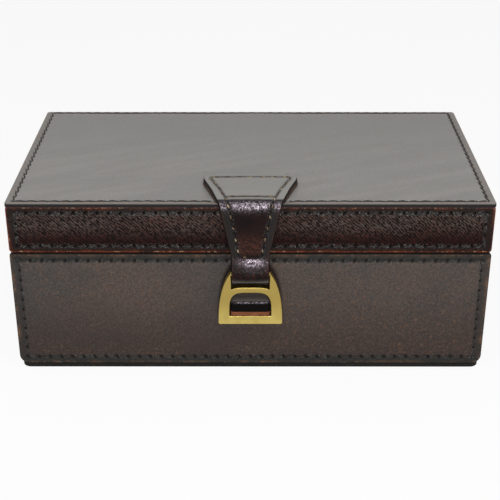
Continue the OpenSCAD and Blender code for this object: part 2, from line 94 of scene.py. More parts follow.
# Strap, in which u is the distance in front of the front face.
STRAP_THICK = 2.0 * MM
STRAP_EDGE = 0.6 * MM
STRAP_STEP = 0.5 * MM
STRAP_GAP = 0.3 * MM
TAB_CORNER = 5.0 * MM
TAB_HALF_WIDTH = 24.5 * MM
EDGE_HALF_WIDTH = 15.7 * MM
CREASE_HALF_WIDTH = 14.7 * MM
LOOP_HALF_WIDTH = 9.08 * MM
TAB_SAG = 1.3 * MM
SAG_LENGTH = 9.0 * MM
BEND_RADIUS = 3.3 * MM
PINCH_RISE = 0.7 * MM
FOLD_END_DROP = 1.0 * MM
LOOP_RADIUS = 3.1 * MM
BULGE_RISE = 0.3 * MM
BULGE_POWER = 4.2
LOOP_CROWN = 0.6 * MM
LOOP_SPREAD = 0.06 * MM
PATH_SOFTNESS = 0.6 * MM
PATH_STEP = 0.1 * MM
BULGE_POINTS = 60
TAB_END_POINTS = 20

# The strap's stitch rows, and the filler under its tab.
STRAP_STITCH_PITCH = 5.4 * MM
TAB_STITCH_LENGTH = 4.1 * MM
TAB_STITCH_RADIUS = 0.36 * MM
TONGUE_STITCH_LENGTH = 2.1 * MM
TONGUE_STITCH_RADIUS = 0.33 * MM
TAB_BACK_ROW = 3.8 * MM
TAB_FRONT_ROW = 25.1 * MM
INSET_TAB_BACK = 3.4 * MM
INSET_TAB_FRONT = 4.7 * MM
INSET_PINCH = 3.8 * MM
ROW_WIDTH = 0.75 * MM
SEWING_LIFT = -0.2 * MM
FILLER_PROUD = 0.25 * MM
FILLER_BULGE = 0.3 * MM
FILLER_GAP = 0.04 * MM
FILLER_START = 0.05 * MM
FILLER_CORNER = 2.0 * MM
FILLER_CORNER_LINES = 20

# Relief of the strap's outer face, and the layer behind the tongue.
TAB_PILLOW = 0.2 * MM
FRONT_PILLOW = 0.45 * MM
PILLOW_FILL = 6.0 * MM
PILLOW_FADE = 2.0 * MM
SEAM_FADE = 1.0 * MM
ROW_GROOVE = 0.3 * MM
HOLE_GROOVE = 0.25 * MM
ROW_OVERLAP = 0.5 * MM
CROWN_START = 4.0 * MM
CROWN_FILL = 3.0 * MM
CROWN_FADE = 5.0 * MM
STRAP_RIPPLE = 0.05 * MM
STRAP_RIPPLE_LENGTH = 5.0 * MM
STRAP_RIPPLE_SEED = 40
UNDER_INSET = 0.35 * MM
UNDER_FADE = 4.0 * MM
SPREAD_PLACE = 6.0 * MM
SPREAD_LENGTH = 3.0 * MM

# Marks on the strap: a painted shade line past the bend and painted reflected light on the fold before the
# loop's bottom, each as its place, length and share; the end of the painted sheen on the tab; burnished
# places on the bend and the loop; redder dye over the pinch.
BEND_LINE = (0.4 * MM, 0.4 * MM, 0.9)
PALE_FOLD = (-2.4 * MM, 1.2 * MM, 0.5)
FADED_END = 0.6 * MM
BEND_POLISH_SHARE = 0.55
STRAP_POLISH_LENGTH = 2.1 * MM
SLOPE_POLISH_PLACE = 3.6 * MM
SLOPE_POLISH_SIDE = 1.2 * MM
SLOPE_POLISH_WIDTH = 6.0 * MM
STRAP_POLISH = 1.3
WARM_PLACE = -5.0 * MM
WARM_LENGTH = 6.0 * MM
WARM_SHARE = 0.8

# Stirrup, heights above its foot.
STIRRUP_HALF_WIDTH = 15.4 * MM
STIRRUP_HEIGHT = 32.0 * MM
STIRRUP_POWER = 2.4
EYE_BASE = 4.4 * MM
EYE_HALF_WIDTH = 10.1 * MM
EYE_HEIGHT = 12.8 * MM
EYE_POWER = 4.0
CROSSBAR = 2.75 * MM
SLOT_HALF_WIDTH = 9.25 * MM
FOOT_CORNER = 0.9 * MM
FOOT_POINTS = 6
TIP_RADIUS = 0.25 * MM
TIP_POINTS = 7
STIRRUP_BREAK = 0.25 * MM
BAR_RADIUS = 1.6 * MM
BAR_OVERLAP = 0.1 * MM
WELD = 0.002 * MM

# Catch: swell of its cover over its core, rounded edges, the burnished edge of the cover, painted sheen on
# its top.
CATCH_SWELL = 1.2 * MM
CATCH_END_RADIUS = 2.2 * MM
CATCH_END_SLOPE = 0.5
COVER_TOP_BREAK = 1.4 * MM
COVER_LOW_BREAK = 0.3 * MM
CORE_BREAK = 0.2 * MM
CATCH_POLISH = 0.7
CATCH_POLISH_WIDTH = 0.45 * MM
CATCH_POLISH_PLACE = 0.3
CATCH_FADE = 0.4 * MM
CATCH_FADE_PLACE = 0.5
CATCH_ROUND_POINTS = 7
CATCH_END_POINTS = 8
CATCH_LENGTH_POINTS = 25

# Painted shadow on the body's leather behind the stirrup: a dark mark that stands in for its shade.
MARK_HALF_WIDTH = 15.5 * MM
MARK_HEIGHT = 33.5 * MM
MARK_POWER = 2.6
MARK_FADE = 1.6 * MM
MARK_INNER = (0.66, 0.76)
MARK_FOOT = (2.0 * MM, 11.0 * MM)

# Points round a rod, and along each curve of the stirrup.
ROUND_STEPS = 24

# Plane waves summed for uneven ground, and the spread of their lengths.
WAVE_COUNT = 8
WAVE_SPREAD = (0.7, 1.5)

# A distance in millimetres that no mark along an outline or a stitch row reaches.
BEYOND_MARKS = 9.0


# Meshes

def grid_faces(rows, columns, rows_close=False, columns_close=False):
    """Quads of a grid of points: each joins point (i, j) to its neighbours at i + 1 and j + 1."""
    i = np.arange(rows if rows_close else rows - 1)[:, None]
    j = np.arange(columns if columns_close else columns - 1)[None, :]
    next_i = (i + 1) % rows
    next_j = (j + 1) % columns
    corners = [i * columns + j, i * columns + next_j, next_i * columns + next_j, next_i * columns + j]
    return np.stack(corners, -1).reshape(-1, 4)


def in_scene(name, data):
    """A new object in the scene that shows a mesh, curve, light or camera."""
    obj = bpy.data.objects.new(name, data)
    bpy.context.scene.collection.objects.link(obj)
    return obj


def add_mesh(name, points, faces, material, attributes=None, smooth=True):
    """A mesh object from an array of points and a list of face arrays, with float attributes on points."""
    mesh = bpy.data.meshes.new(name)
    polygons = [polygon for block in faces for polygon in np.asarray(block).tolist()]
    mesh.from_pydata(np.asarray(points).reshape(-1, 3).tolist(), [], polygons)
    mesh.polygons.foreach_set("use_smooth", np.full(len(polygons), smooth))
    for key, values in (attributes or {}).items():
        layer = mesh.attributes.new(key, "FLOAT", "POINT")
        layer.data.foreach_set("value", np.asarray(values, np.float32).ravel())
    mesh.update()
    mesh.materials.append(material)
    return in_scene(name, mesh)


def sharpen(obj, degrees):
    """Edges whose faces meet at more than this angle are drawn sharp."""
    obj.data.set_sharp_from_angle(angle=math.radians(degrees))


def tube_piece(name, rings, material, **options):
    """Closed tube: rings of points along a path, joined by quads, with a flat face on each end."""
    count, sides, _ = rings.shape
    ends = [np.arange(sides)[None, ::-1], (np.arange(sides) + (count - 1) * sides)[None, :]]
    return add_mesh(name, rings, [grid_faces(count, sides, columns_close=True), *ends], material, **options)


def waves(a, b, length, seed):
    """Soft uneven ground: the sum of a few plane waves of about this length, each with a drawn direction
    and phase."""
    draw = np.random.default_rng(seed)
    turn = draw.uniform(0, 2 * np.pi, WAVE_COUNT)
    phase = draw.uniform(0, 2 * np.pi, WAVE_COUNT)
    rate = 2 * np.pi / (length * draw.uniform(*WAVE_SPREAD, WAVE_COUNT))
    across = a[..., None] * np.cos(turn) + b[..., None] * np.sin(turn)
    return np.sin(rate * across + phase).sum(-1) / math.sqrt(WAVE_COUNT)


def bump_at(distance, width):
    """Bell curve of height 1 at distance 0."""
    return np.exp(-(distance / width) ** 2)


def ramp(value, start, end):
    """Zero up to the start, one past the end and straight between; the end may lie below the start."""
    return np.clip((value - start) / (end - start), 0, 1)


def closed_sheet(face, height, out, lines):
    """Points and faces of a sheet closed at its back: its face, straight sides from the face's outline to the
    back plane in this many lines, and a flat back. Also gives each side point's share of the way down."""
    rows, columns, _ = face.shape
    index = np.arange(rows * columns).reshape(rows, columns)
    loop = np.concatenate([index[0, :-1], index[:-1, -1], index[-1, :0:-1], index[:0:-1, 0]])
    down = np.repeat(np.linspace(0, 1, lines + 1)[1:, None], len(loop), 1)
    sides = face.reshape(-1, 3)[loop] - (down * height.ravel()[loop])[..., None] * out
    side_index = np.concatenate([loop, rows * columns + np.arange(down.size)])
    side_faces = side_index[grid_faces(lines + 1, len(loop), columns_close=True)][:, ::-1]
    points = np.concatenate([face.reshape(-1, 3), sides.reshape(-1, 3)])
    faces = [grid_faces(rows, columns), side_faces, side_index[-len(loop):][None, ::-1]]
    return points, faces, down.ravel()


# Materials

WORN_RED = (0.28, 0.070, 0.028)
WORN_TAN = (0.22, 0.107, 0.057)
DEEP_RED = (0.225, 0.056, 0.025)
DYE = (0.006, 0.005, 0.005)
# Colour of the painted glints on the puckers beside the stitch rows.
FROST = (0.180, 0.190, 0.186)
# Colour of the painted shadow behind the stirrup.
STAIN = (0.008, 0.0045, 0.0045)
# Bright edge spots: partly worn leather, partly painted glints.
SPARKLE = (0.42, 0.25, 0.14)
GLINT_LOW = (0.020, 0.015, 0.016)
GLINT_HIGH = (0.188, 0.163, 0.188)
BRASS_BRIGHT = (0.56, 0.44, 0.13)
BRASS_TARNISHED = (0.47, 0.355, 0.102)
BRASS_DULL = (0.38, 0.275, 0.076)
WOOD_DARK = (0.063, 0.034, 0.020)
WOOD_LIGHT = (0.147, 0.081, 0.045)
NO_TURN = (0.0, 0.0, 0.0)
HATCH_TURN = (0.0, math.radians(-35.3), math.radians(45))
SCUFF_SIZE = (30 * MM, 30 * MM, 7 * MM)
WOOD_GRAIN_SIZE = (70 * MM, 2.4 * MM, 2.4 * MM)
FIBRE_SIZE = (6 * MM, 6 * MM, 1.4 * MM)
BRASS_DULL_RISE = (29 * MM, 42 * MM)

# The leather's noises in features per metre, the depths of its bumps and the shares of its marks.
MARGIN_SCALE = 110
RUB_SCALE = 70
SPARKLE_SCALE = 750
FROST_SCALE = 1300
GLINT_SCALE = 1100
GLOSS_SCALE = 85
CREASE_SCALE = 700
PORE_SCALE = 2600
GRAIN_DEPTH = 0.25 * MM
CREASE_DEPTH = 0.5 * MM
PORE_DEPTH = 0.12 * MM
RIDGE_SHARE = 0.42
DASH_SHARE = 0.6
STAIN_SHARE = 0.92
HOLE_SHARE = 0.85
EDGE_DYE_FADE = 0.4
FADED_RELIEF = 0.25
MATTE_GAIN = 0.15

# A leather's settings where it names no other. Widths from the outline and the row are in millimetres.
PLAIN_LEATHER = {
    "patch_size": (26 * MM, 26 * MM, 26 * MM), "patch_turn": NO_TURN,
    "low": 0.0, "low_z": -1.0, "high_z": -0.9, "grain": 0.35, "grain_size": (0.85 * MM, 0.85 * MM, 0.85 * MM),
    "grain_turn": NO_TURN, "grain_span": (0.25, 0.65), "grain_dark": 0.2, "pores": 0.25, "gloss_uneven": 0.06,
    "speck": 0.5, "speck_scale": 420, "speck_patch": 30, "border_share": 0.8, "upright_border": 1.0,
    "margin": 0.3, "margin_width": 3.0, "rub": 0.7, "rub_width": 1.0, "sparkle": 0.0, "sparkle_width": 1.6,
    "frost": 0.0, "tick": 0.0, "tick_from": 0.45, "tick_reach": 1.3, "edge_dye": -0.05,
}


class Nodes:
    """Short calls that each add one shader node to a tree and give one of its outputs."""

    def __init__(self, tree):
        self.tree = tree
        self.place = self.made("ShaderNodeTexCoord", "Object")

    def put(self, socket, value):
        """Links a socket to an output, or sets it to a constant."""
        if isinstance(value, bpy.types.NodeSocket):
            self.tree.links.new(value, socket)
        else:
            socket.default_value = value

    def made(self, kind, output, inputs=None, **settings):
        """A node of this kind with its settings, then its inputs."""
        node = self.tree.nodes.new(kind)
        for key, value in settings.items():
            setattr(node, key, value)
        for key, value in (inputs or {}).items():
            self.put(node.inputs[key], value)
        return node.outputs[output]

    def noise(self, scale, detail, rough, place=None):
        """Clouds around one half, with this many features per metre, or per step of another place."""
        inputs = {"Vector": place or self.place, "Scale": scale, "Detail": detail, "Roughness": rough}
        return self.made("ShaderNodeTexNoise", "Fac", inputs)

    def cells(self, place):
        """Rounded pebbles, one per step of the place."""
        inputs = {"Vector": place, "Scale": 1.0, "Smoothness": 0.6}
        return self.made("ShaderNodeTexVoronoi", "Distance", inputs, feature="SMOOTH_F1")

    def ridges(self, distortion, place):
        """Wavering ridges across the place's X, one per step."""
        inputs = {"Vector": place, "Scale": np.pi / 10, "Distortion": distortion, "Detail": 4.0,
                  "Detail Scale": 2.0}
        return self.made("ShaderNodeTexWave", "Fac", inputs, bands_direction="X")

    def turned(self, size, rotation=NO_TURN):
        """The place in steps of this size along turned axes."""
        inputs = {"Vector": self.place, "Scale": size, "Rotation": rotation}
        return self.made("ShaderNodeMapping", "Vector", inputs, vector_type="TEXTURE")

    def span(self, value, low, high, to_low=0.0, to_high=1.0):
        """A smooth step from one output to the other as the value goes from low to high."""
        inputs = {"Value": value, "From Min": low, "From Max": high, "To Min": to_low, "To Max": to_high}
        return self.made("ShaderNodeMapRange", "Result", inputs, interpolation_type="SMOOTHSTEP")

    def maths(self, operation, first, second=0.0):
        """One sum on one or two values."""
        return self.made("ShaderNodeMath", 0, {0: first, 1: second}, operation=operation)

    def times(self, first, second):
        """The product of two values."""
        return self.maths("MULTIPLY", first, second)

    def mix(self, factor, first, second):
        """A colour between two: none of the second at factor 0, all of it at 1."""
        first, second = ((*value, 1.0) if isinstance(value, tuple) else value for value in (first, second))
        inputs = {"Factor": factor, "A": first, "B": second}
        return self.made("ShaderNodeMix", "Result", inputs, data_type="RGBA")

    def attribute(self, name):
        """A number stored on the mesh, zero where it has none of this name."""
        return self.made("ShaderNodeAttribute", "Fac", attribute_name=name)

    def height(self):
        """The height above the base."""
        return self.made("ShaderNodeSeparateXYZ", "Z", {"Vector": self.place})

    def bump(self, height, strength, distance, under=None):
        """A normal tilted by a height, over another bump where one is given."""
        inputs = {"Height": height, "Strength": strength, "Distance": distance}
        if under is not None:
            inputs["Normal"] = under
        return self.made("ShaderNodeBump", "Normal", inputs)


def new_material(name):
    """A material with a plain Principled shader, and the calls that add nodes to it."""
    material = bpy.data.materials.new(name)
    material.use_nodes = True
    return material, Nodes(material.node_tree)


def finished(material, n, sockets):
    """The material with these sockets of its Principled shader linked or set."""
    shader = material.node_tree.nodes["Principled BSDF"]
    for key, value in sockets.items():
        n.put(shader.inputs[key], value)
    return material


def leather_grain(n, look):
    """Pebbles, or wavering ridges broken into dashes."""
    place = n.turned(look["grain_size"], look["grain_turn"])
    if "ridges" not in look:
        return n.cells(place)
    dashes = n.noise(1.0, 3, 0.6, n.turned(look["dash_size"], look["grain_turn"]))
    dashes = n.span(dashes, 0.34, 0.66, 0.0, DASH_SHARE)
    return n.maths("ADD", n.times(n.ridges(look["ridges"], place), RIDGE_SHARE), dashes)


def leather_ground(n, look, grain, base, mottle, worn):
    """Two mottled tones, another low down that is painted shade where it is set, another far up the panel
    that is painted shade on the lid's top, redder dye, dye left in the grain, and warm specks in patches and
    in long scuffs low down."""
    patches = n.noise(1.0, 5, 0.62, n.turned(look["patch_size"], look["patch_turn"]))
    colour = n.mix(n.span(patches, 0.38, 0.66), base, mottle)
    # Painted shade: a darker tone towards the bottom of the panel, where it is set.
    low = n.span(n.height(), look["low_z"], look["high_z"], look["low"], 0.0)
    colour = n.mix(low, colour, look["low_colour"])
    # Painted shade: a darker tone far up the panel, towards the lid top's back.
    if "far_colour" in look:
        colour = n.mix(n.span(n.attribute("far"), -0.5, 1.0), colour, look["far_colour"])
    colour = n.mix(n.attribute("warm"), colour, look["warm_colour"])
    colour = n.mix(n.span(grain, *look["grain_span"], 0.0, look["grain_dark"]), colour, DYE)
    speck_patches = n.span(n.noise(look["speck_patch"], 3, 0.6), 0.40, 0.66)
    scuffs = n.span(n.noise(1.0, 4, 0.6, n.turned(SCUFF_SIZE)), 0.44, 0.60)
    speck_place = n.maths("MAXIMUM", speck_patches, n.times(low, scuffs))
    specks = n.span(n.noise(look["speck_scale"], 3, 0.7), 0.50, 0.72)
    return n.mix(n.times(n.times(speck_place, specks), look["speck"]), colour, worn)


def leather_edges(n, look, colour, border, worn):
    """Another tone outside the stitch row; along the outline a worn margin, a rubbed edge and bright
    spots that are partly worn leather and partly painted glints, each broken up by noise."""
    rim = n.attribute("rim")
    wear = n.attribute("wear")
    outside = n.span(n.attribute("row"), -0.8, 0.9, look["border_share"], 0.0)
    upright = n.span(n.attribute("upright"), 0.0, 1.0, 1.0, look["upright_border"])
    colour = n.mix(n.times(outside, upright), colour, border)
    margin = n.span(rim, 0.0, look["margin_width"], look["margin"], 0.0)
    margin = n.times(margin, n.span(n.noise(MARGIN_SCALE, 4, 0.65), 0.44, 0.66))
    colour = n.mix(n.times(margin, wear), colour, worn)
    rub = n.span(rim, 0.15, look["rub_width"], look["rub"], 0.0)
    rub = n.times(rub, n.span(n.noise(RUB_SCALE, 5, 0.7), 0.32, 0.56))
    colour = n.mix(n.times(rub, wear), colour, look["rub_colour"])
    # Bright spots along the outline: partly worn leather, partly painted glints.
    sparkle = n.span(rim, 0.4, look["sparkle_width"], look["sparkle"], 0.0)
    sparkle = n.times(sparkle, n.span(n.noise(SPARKLE_SCALE, 2, 0.6), 0.57, 0.66))
    return n.mix(sparkle, colour, SPARKLE)


def leather_marks(n, look, colour):
    """Painted glints on the puckers on both sides of the stitch row, painted sheen where tab is set, a
    painted shadow behind the stirrup, and dye in the needle holes and in a tick across the row wherever the
    count of stitches is whole; on the strap the holes also carry a painted shade line past the bend."""
    row = n.attribute("row")
    beside = n.times(n.span(row, -1.6, -0.2), n.span(row, 0.4, 1.9, 1.0, 0.0))
    # Painted glints: pale grey dots on the puckers beside the stitch row.
    frost = n.times(beside, n.span(n.noise(FROST_SCALE, 2, 0.6), 0.53, 0.64, 0.0, look["frost"]))
    colour = n.mix(frost, colour, FROST)
    # Painted sheen: a paler grey where the attribute tab is set.
    colour = n.mix(n.attribute("tab"), colour, look["tab_colour"])
    # Painted shadow of the stirrup, where that attribute is set.
    colour = n.mix(n.times(n.attribute("stain"), STAIN_SHARE), colour, STAIN)
    turn = n.maths("COSINE", n.times(n.attribute("phase"), 2 * np.pi))
    tick = n.span(turn, look["tick_from"], 0.9, 0.0, look["tick"])
    near_row = n.span(n.maths("ABSOLUTE", row), 0.55, look["tick_reach"], 1.0, 0.0)
    hole = n.maths("MAXIMUM", n.times(tick, near_row), n.times(n.attribute("hole"), HOLE_SHARE))
    return n.mix(hole, colour, DYE)


def leather_relief(n, look, grain):
    """Bumps of the grain, of creases and of pores, shallower where a paler grey is painted in for sheen."""
    flatter = n.span(n.attribute("tab"), 0.0, 1.0, 1.0, FADED_RELIEF)
    normal = n.bump(n.times(grain, flatter), look["grain"], GRAIN_DEPTH)
    if "creases" in look:
        creases = n.noise(CREASE_SCALE, 3, 0.6)
        normal = n.bump(n.times(creases, flatter), look["creases"], CREASE_DEPTH, normal)
    pores = n.noise(PORE_SCALE, 3, 0.7)
    return n.bump(n.times(pores, flatter), look["pores"], PORE_DEPTH, normal)


def leather(name, base, mottle, border, worn, rough, specular, **looks):
    """Dyed leather, from its ground out to its edges and marks, with dyed cut sides. Attributes: rim is the
    distance in from the outline, below zero on the cut side; row the distance in from the stitch row; hole 1
    in a needle hole and along a painted shade line on the strap; phase the count of stitches along the row;
    wear the share of wear at the outline; upright 1 along a panel's left and right sides; far from -1 to 1 up
    the panel; tab 1 where a paler grey is painted in, as sheen on the strap's tab and the catch's top and as
    reflected light on the strap's fold; warm 1 where its dye is redder; stain 1 where a shadow of the stirrup
    is painted; polish 1 where handling has burnished it: there the metal channel carries a mirror as weak as
    wax, over black."""
    look = {**PLAIN_LEATHER, "low_colour": base, "warm_colour": base, "tab_colour": base, "rub_colour": worn,
            **looks}
    material, n = new_material(name)
    grain = leather_grain(n, look)
    colour = leather_ground(n, look, grain, base, mottle, worn)
    colour = leather_edges(n, look, colour, border, worn)
    colour = leather_marks(n, look, colour)
    side = n.span(n.attribute("rim"), look["edge_dye"] - EDGE_DYE_FADE, look["edge_dye"], 1.0, 0.0)
    colour = n.mix(side, colour, DYE)
    polish = n.attribute("polish")
    glint = n.span(n.noise(GLINT_SCALE, 3, 0.65), 0.40, 0.66)
    colour = n.mix(polish, colour, n.mix(glint, GLINT_LOW, GLINT_HIGH))
    uneven = look["gloss_uneven"]
    gloss = n.span(n.noise(GLOSS_SCALE, 4, 0.6), 0.3, 0.7, rough - uneven, rough + uneven)
    matter = n.times(n.maths("MAXIMUM", side, n.attribute("tab")), MATTE_GAIN)
    return finished(material, n, {
        "Base Color": colour, "Metallic": polish, "Roughness": n.maths("ADD", gloss, matter),
        "Normal": leather_relief(n, look, grain), "Specular IOR Level": specular})


def brass(name):
    """Satin brass: yellow metal with faint tarnish patches, duller upwards, and fine wear in its gloss."""
    material, n = new_material(name)
    tarnish = n.span(n.noise(160, 5, 0.6), 0.42, 0.72)
    colour = n.mix(tarnish, BRASS_BRIGHT, BRASS_TARNISHED)
    colour = n.mix(n.span(n.height(), *BRASS_DULL_RISE, 0.0, 0.9), colour, BRASS_DULL)
    return finished(material, n, {
        "Base Color": colour, "Metallic": 1.0,
        "Roughness": n.span(n.noise(420, 4, 0.6), 0.3, 0.7, 0.30, 0.44),
        "Normal": n.bump(n.noise(900, 3, 0.6), 0.05, 0.1 * MM)})


def thread(name, light, dark, turn_dark=0.5):
    """Waxed thread: two tones along its length with a fine twisted bump."""
    material, n = new_material(name)
    return finished(material, n, {
        "Base Color": n.mix(n.span(n.noise(320, 3, 0.6), turn_dark - 0.12, turn_dark + 0.12), light, dark),
        "Normal": n.bump(n.noise(2400, 2, 0.5), 0.5, 0.15 * MM),
        "Roughness": 0.6, "Specular IOR Level": 0.15})


def suede(name, light, dark):
    """Suede: soft cloudy nap in two tones, fully rough, with a sheen."""
    material, n = new_material(name)
    colour = n.mix(n.span(n.noise(60, 6, 0.7), 0.36, 0.66), light, dark)
    colour = n.mix(n.span(n.noise(900, 3, 0.7), 0.45, 0.75, 0.0, 0.35), colour, dark)
    return finished(material, n, {
        "Base Color": colour, "Normal": n.bump(n.noise(1500, 4, 0.7), 0.4, 0.2 * MM), "Roughness": 0.92,
        "Specular IOR Level": 0.15, "Sheen Weight": 0.4, "Sheen Roughness": 0.5})


def stained_wood(name):
    """Dark stained board: noise drawn out along X for the grain, in two browns."""
    material, n = new_material(name)
    grain = n.noise(1.0, 5, 0.65, n.turned(WOOD_GRAIN_SIZE))
    return finished(material, n, {
        "Base Color": n.mix(n.span(grain, 0.35, 0.65), WOOD_DARK, WOOD_LIGHT),
        "Normal": n.bump(grain, 0.15, 0.2 * MM), "Roughness": 0.55})


def cut_leather(name, light, dark):
    """Raw cut or undyed leather: fibrous two-tone brown, matte."""
    material, n = new_material(name)
    fibre = n.noise(1.0, 5, 0.7, n.turned(FIBRE_SIZE))
    return finished(material, n, {
        "Base Color": n.mix(n.span(fibre, 0.35, 0.65), light, dark), "Normal": n.bump(fibre, 0.3, 0.2 * MM),
        "Roughness": 0.75, "Specular IOR Level": 0.15})


# The body's low tone is painted shade, darker towards the bottom.
BODY_LEATHER = leather(
    "body_leather", base=(0.059, 0.0530, 0.0500), mottle=(0.080, 0.0610, 0.0520),
    border=(0.0185, 0.0187, 0.0170), worn=WORN_TAN, rough=0.55, specular=0.1,
    patch_size=(42 * MM, 42 * MM, 42 * MM), speck=0.30, speck_scale=700, speck_patch=16, margin=0.3,
    margin_width=2.8, rub=0.15, sparkle=0.14, sparkle_width=2.6, grain=0.25, grain_dark=0.3, frost=0.4,
    border_share=0.92, upright_border=0.6, tick=0.98, tick_from=0.3, tick_reach=1.7, edge_dye=0.6,
    low=0.9, low_z=8 * MM, high_z=50 * MM, low_colour=(0.045, 0.0320, 0.0280))
# The lid top's grey is partly the leather's faded tone and partly painted sheen; its far tone is painted
# shade, darker towards the back.
LID_TOP_LEATHER = leather(
    "lid_top_leather", base=(0.215, 0.207, 0.196), mottle=(0.245, 0.234, 0.220),
    border=(0.140, 0.117, 0.102), worn=WORN_TAN, rough=0.40, specular=0.2,
    patch_size=(70 * MM, 9 * MM, 40 * MM), patch_turn=(0, 0, math.radians(24)), speck=0.08, margin=0.3,
    margin_width=3.0, rub=0.1, grain=0.15, grain_dark=0.12, border_share=0.5, gloss_uneven=0.015,
    edge_dye=0.35, sparkle=0.25, sparkle_width=1.4, tick=0.9, tick_from=0.2,
    far_colour=(0.196, 0.190, 0.178))
# The lid sides' low tone is painted shade, darker towards the bottom.
LID_SIDE_LEATHER = leather(
    "lid_side_leather", base=(0.056, 0.032, 0.026), mottle=(0.065, 0.052, 0.047),
    border=(0.018, 0.0125, 0.011), worn=DEEP_RED, rough=0.34, specular=0.02,
    patch_size=(45 * MM, 20 * MM, 14 * MM), speck=0.1, speck_scale=700, margin=0.45, margin_width=2.4,
    rub=1.0, rub_width=0.9, rub_colour=(0.29, 0.064, 0.028), sparkle=0.75, sparkle_width=1.3, grain=0.9,
    grain_dark=0.95, grain_span=(0.42, 0.60), ridges=6.0, dash_size=(0.56 * MM, 1.6 * MM, 1.6 * MM),
    grain_size=(1.0 * MM, 2.2 * MM, 2.2 * MM), grain_turn=HATCH_TURN, frost=0.8, tick=0.98,
    low=0.95, low_z=69.5 * MM, high_z=79.5 * MM, low_colour=(0.020, 0.0060, 0.0047))
# The strap's tab colour is painted sheen on its top, and its grey border is painted sheen on the flat margins
# outside the stitch rows.
STRAP_LEATHER = leather(
    "strap_leather", base=(0.0075, 0.0034, 0.0031), mottle=(0.0145, 0.0062, 0.0052),
    border=(0.021, 0.0195, 0.0185), worn=WORN_RED, rough=0.27, specular=0.06,
    speck=0.14, speck_scale=900, margin=0.25, margin_width=1.4, rub=0.1, grain=0.5, grain_dark=0.7,
    creases=0.4, pores=0.3, frost=0.5, border_share=0.65, tab_colour=(0.240, 0.233, 0.219),
    warm_colour=(0.066, 0.025, 0.017))
# The catch's tab colour is painted sheen on its top face.
CATCH_LEATHER = leather(
    "catch_leather", base=(0.003, 0.0025, 0.0025), mottle=(0.005, 0.0035, 0.0035),
    border=(0.003, 0.0025, 0.0025), worn=WORN_RED, rough=0.30, specular=0.02,
    speck=0.0, margin=0.0, rub=0.0, grain=0.3, tab_colour=(0.105, 0.092, 0.085))
DARK_THREAD = thread("dark_thread", (0.020, 0.0195, 0.0175), (0.034, 0.032, 0.029))
TOP_THREAD = thread("top_thread", (0.016, 0.011, 0.009), (0.048, 0.033, 0.025))
TAB_THREAD = thread("tab_thread", (0.50, 0.41, 0.25), (0.060, 0.040, 0.027), 0.38)
TAN_THREAD = thread("tan_thread", (0.42, 0.33, 0.20), (0.120, 0.075, 0.045), 0.48)
BRASS = brass("brass")
SUEDE = suede("suede_lining", (0.230, 0.078, 0.045), (0.155, 0.050, 0.030))
RING_SUEDE = suede("ring_suede", (0.260, 0.090, 0.051), (0.170, 0.055, 0.033))
WOOD = stained_wood("stained_wood")
TAN_CUT = cut_leather("tan_cut_leather", (0.186, 0.062, 0.026), (0.110, 0.038, 0.018))
DARK_CUT = cut_leather("dark_cut_leather", (0.010, 0.009, 0.008), (0.005, 0.005, 0.005))
FILLER_CUT = cut_leather("filler_cut_leather", (0.075, 0.045, 0.030), (0.033, 0.021, 0.016))


# Leather panels: a runs across a panel and b up it, from its middle.

X_AXIS = np.array((1.0, 0.0, 0.0))
Y_AXIS = np.array((0.0, 1.0, 0.0))
Z_AXIS = np.array((0.0, 0.0, 1.0))
FACING = {
    "front": (X_AXIS, Z_AXIS, -Y_AXIS),
    "back": (-X_AXIS, Z_AXIS, Y_AXIS),
    "left": (-Y_AXIS, Z_AXIS, -X_AXIS),
    "right": (Y_AXIS, Z_AXIS, X_AXIS),
    "top": (X_AXIS, Y_AXIS, Z_AXIS),
    "under": (X_AXIS, -Y_AXIS, -Z_AXIS),
}


def node_place(node, facing):
    """A node's box seen from one side: the middle of its back face, its axes across, up and out, and its
    sizes."""
    low, high = (np.array(corner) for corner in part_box(node))
    axes = FACING[facing]
    sizes = [abs(float(np.dot(axis, high - low))) for axis in axes]
    middle = (low + high) / 2 - axes[2] * sizes[2] / 2
    return middle, axes, sizes


def side_lines(length, edge):
    """Places along a side: even steps, drawing closer together over the rounded edge at each end."""
    count = max(2, round((length - 2 * edge) / PANEL_STEP))
    even = np.linspace(edge, length - edge, count + 1)
    close = edge * (1 - np.cos(np.linspace(0, np.pi / 2, EDGE_LINES)))[:-1]
    return np.concatenate([close, even, length - close[::-1]]) - length / 2


def round_corners(a, b, half_a, half_b, low_radius, top_radius):
    """Pulls a rectangle's corner squares in to quarter discs, each axis shortened by the other's square,
    and gives the distance of every point to the new outline."""
    radius = np.where(b < 0, low_radius, top_radius)
    in_a = (np.abs(a) - (half_a - radius)) / radius
    in_b = (np.abs(b) - (half_b - radius)) / radius
    corner = (in_a > 0) & (in_b > 0)
    disc_a = in_a * np.sqrt(np.clip(1 - in_b ** 2 / 2, 0, 1))
    disc_b = in_b * np.sqrt(np.clip(1 - in_a ** 2 / 2, 0, 1))
    new_a = np.where(corner, np.sign(a) * (half_a - radius + radius * disc_a), a)
    new_b = np.where(corner, np.sign(b) * (half_b - radius + radius * disc_b), b)
    straight = np.minimum(half_a - np.abs(a), half_b - np.abs(b))
    rim = np.where(corner, radius * (1 - np.hypot(disc_a, disc_b)), straight)
    return new_a, new_b, np.maximum(rim, 0)


def row_sides(half_a, half_b, inset):
    """The stitch row's half width and its lower and upper line, from the insets (sides, below, above)."""
    return half_a - inset[0], -half_b + inset[1], half_b - inset[2]


def even_pitch(length):
    """The stitch pitch that divides a row's length into whole stitches."""
    return length / max(1, round(length / STITCH_PITCH))


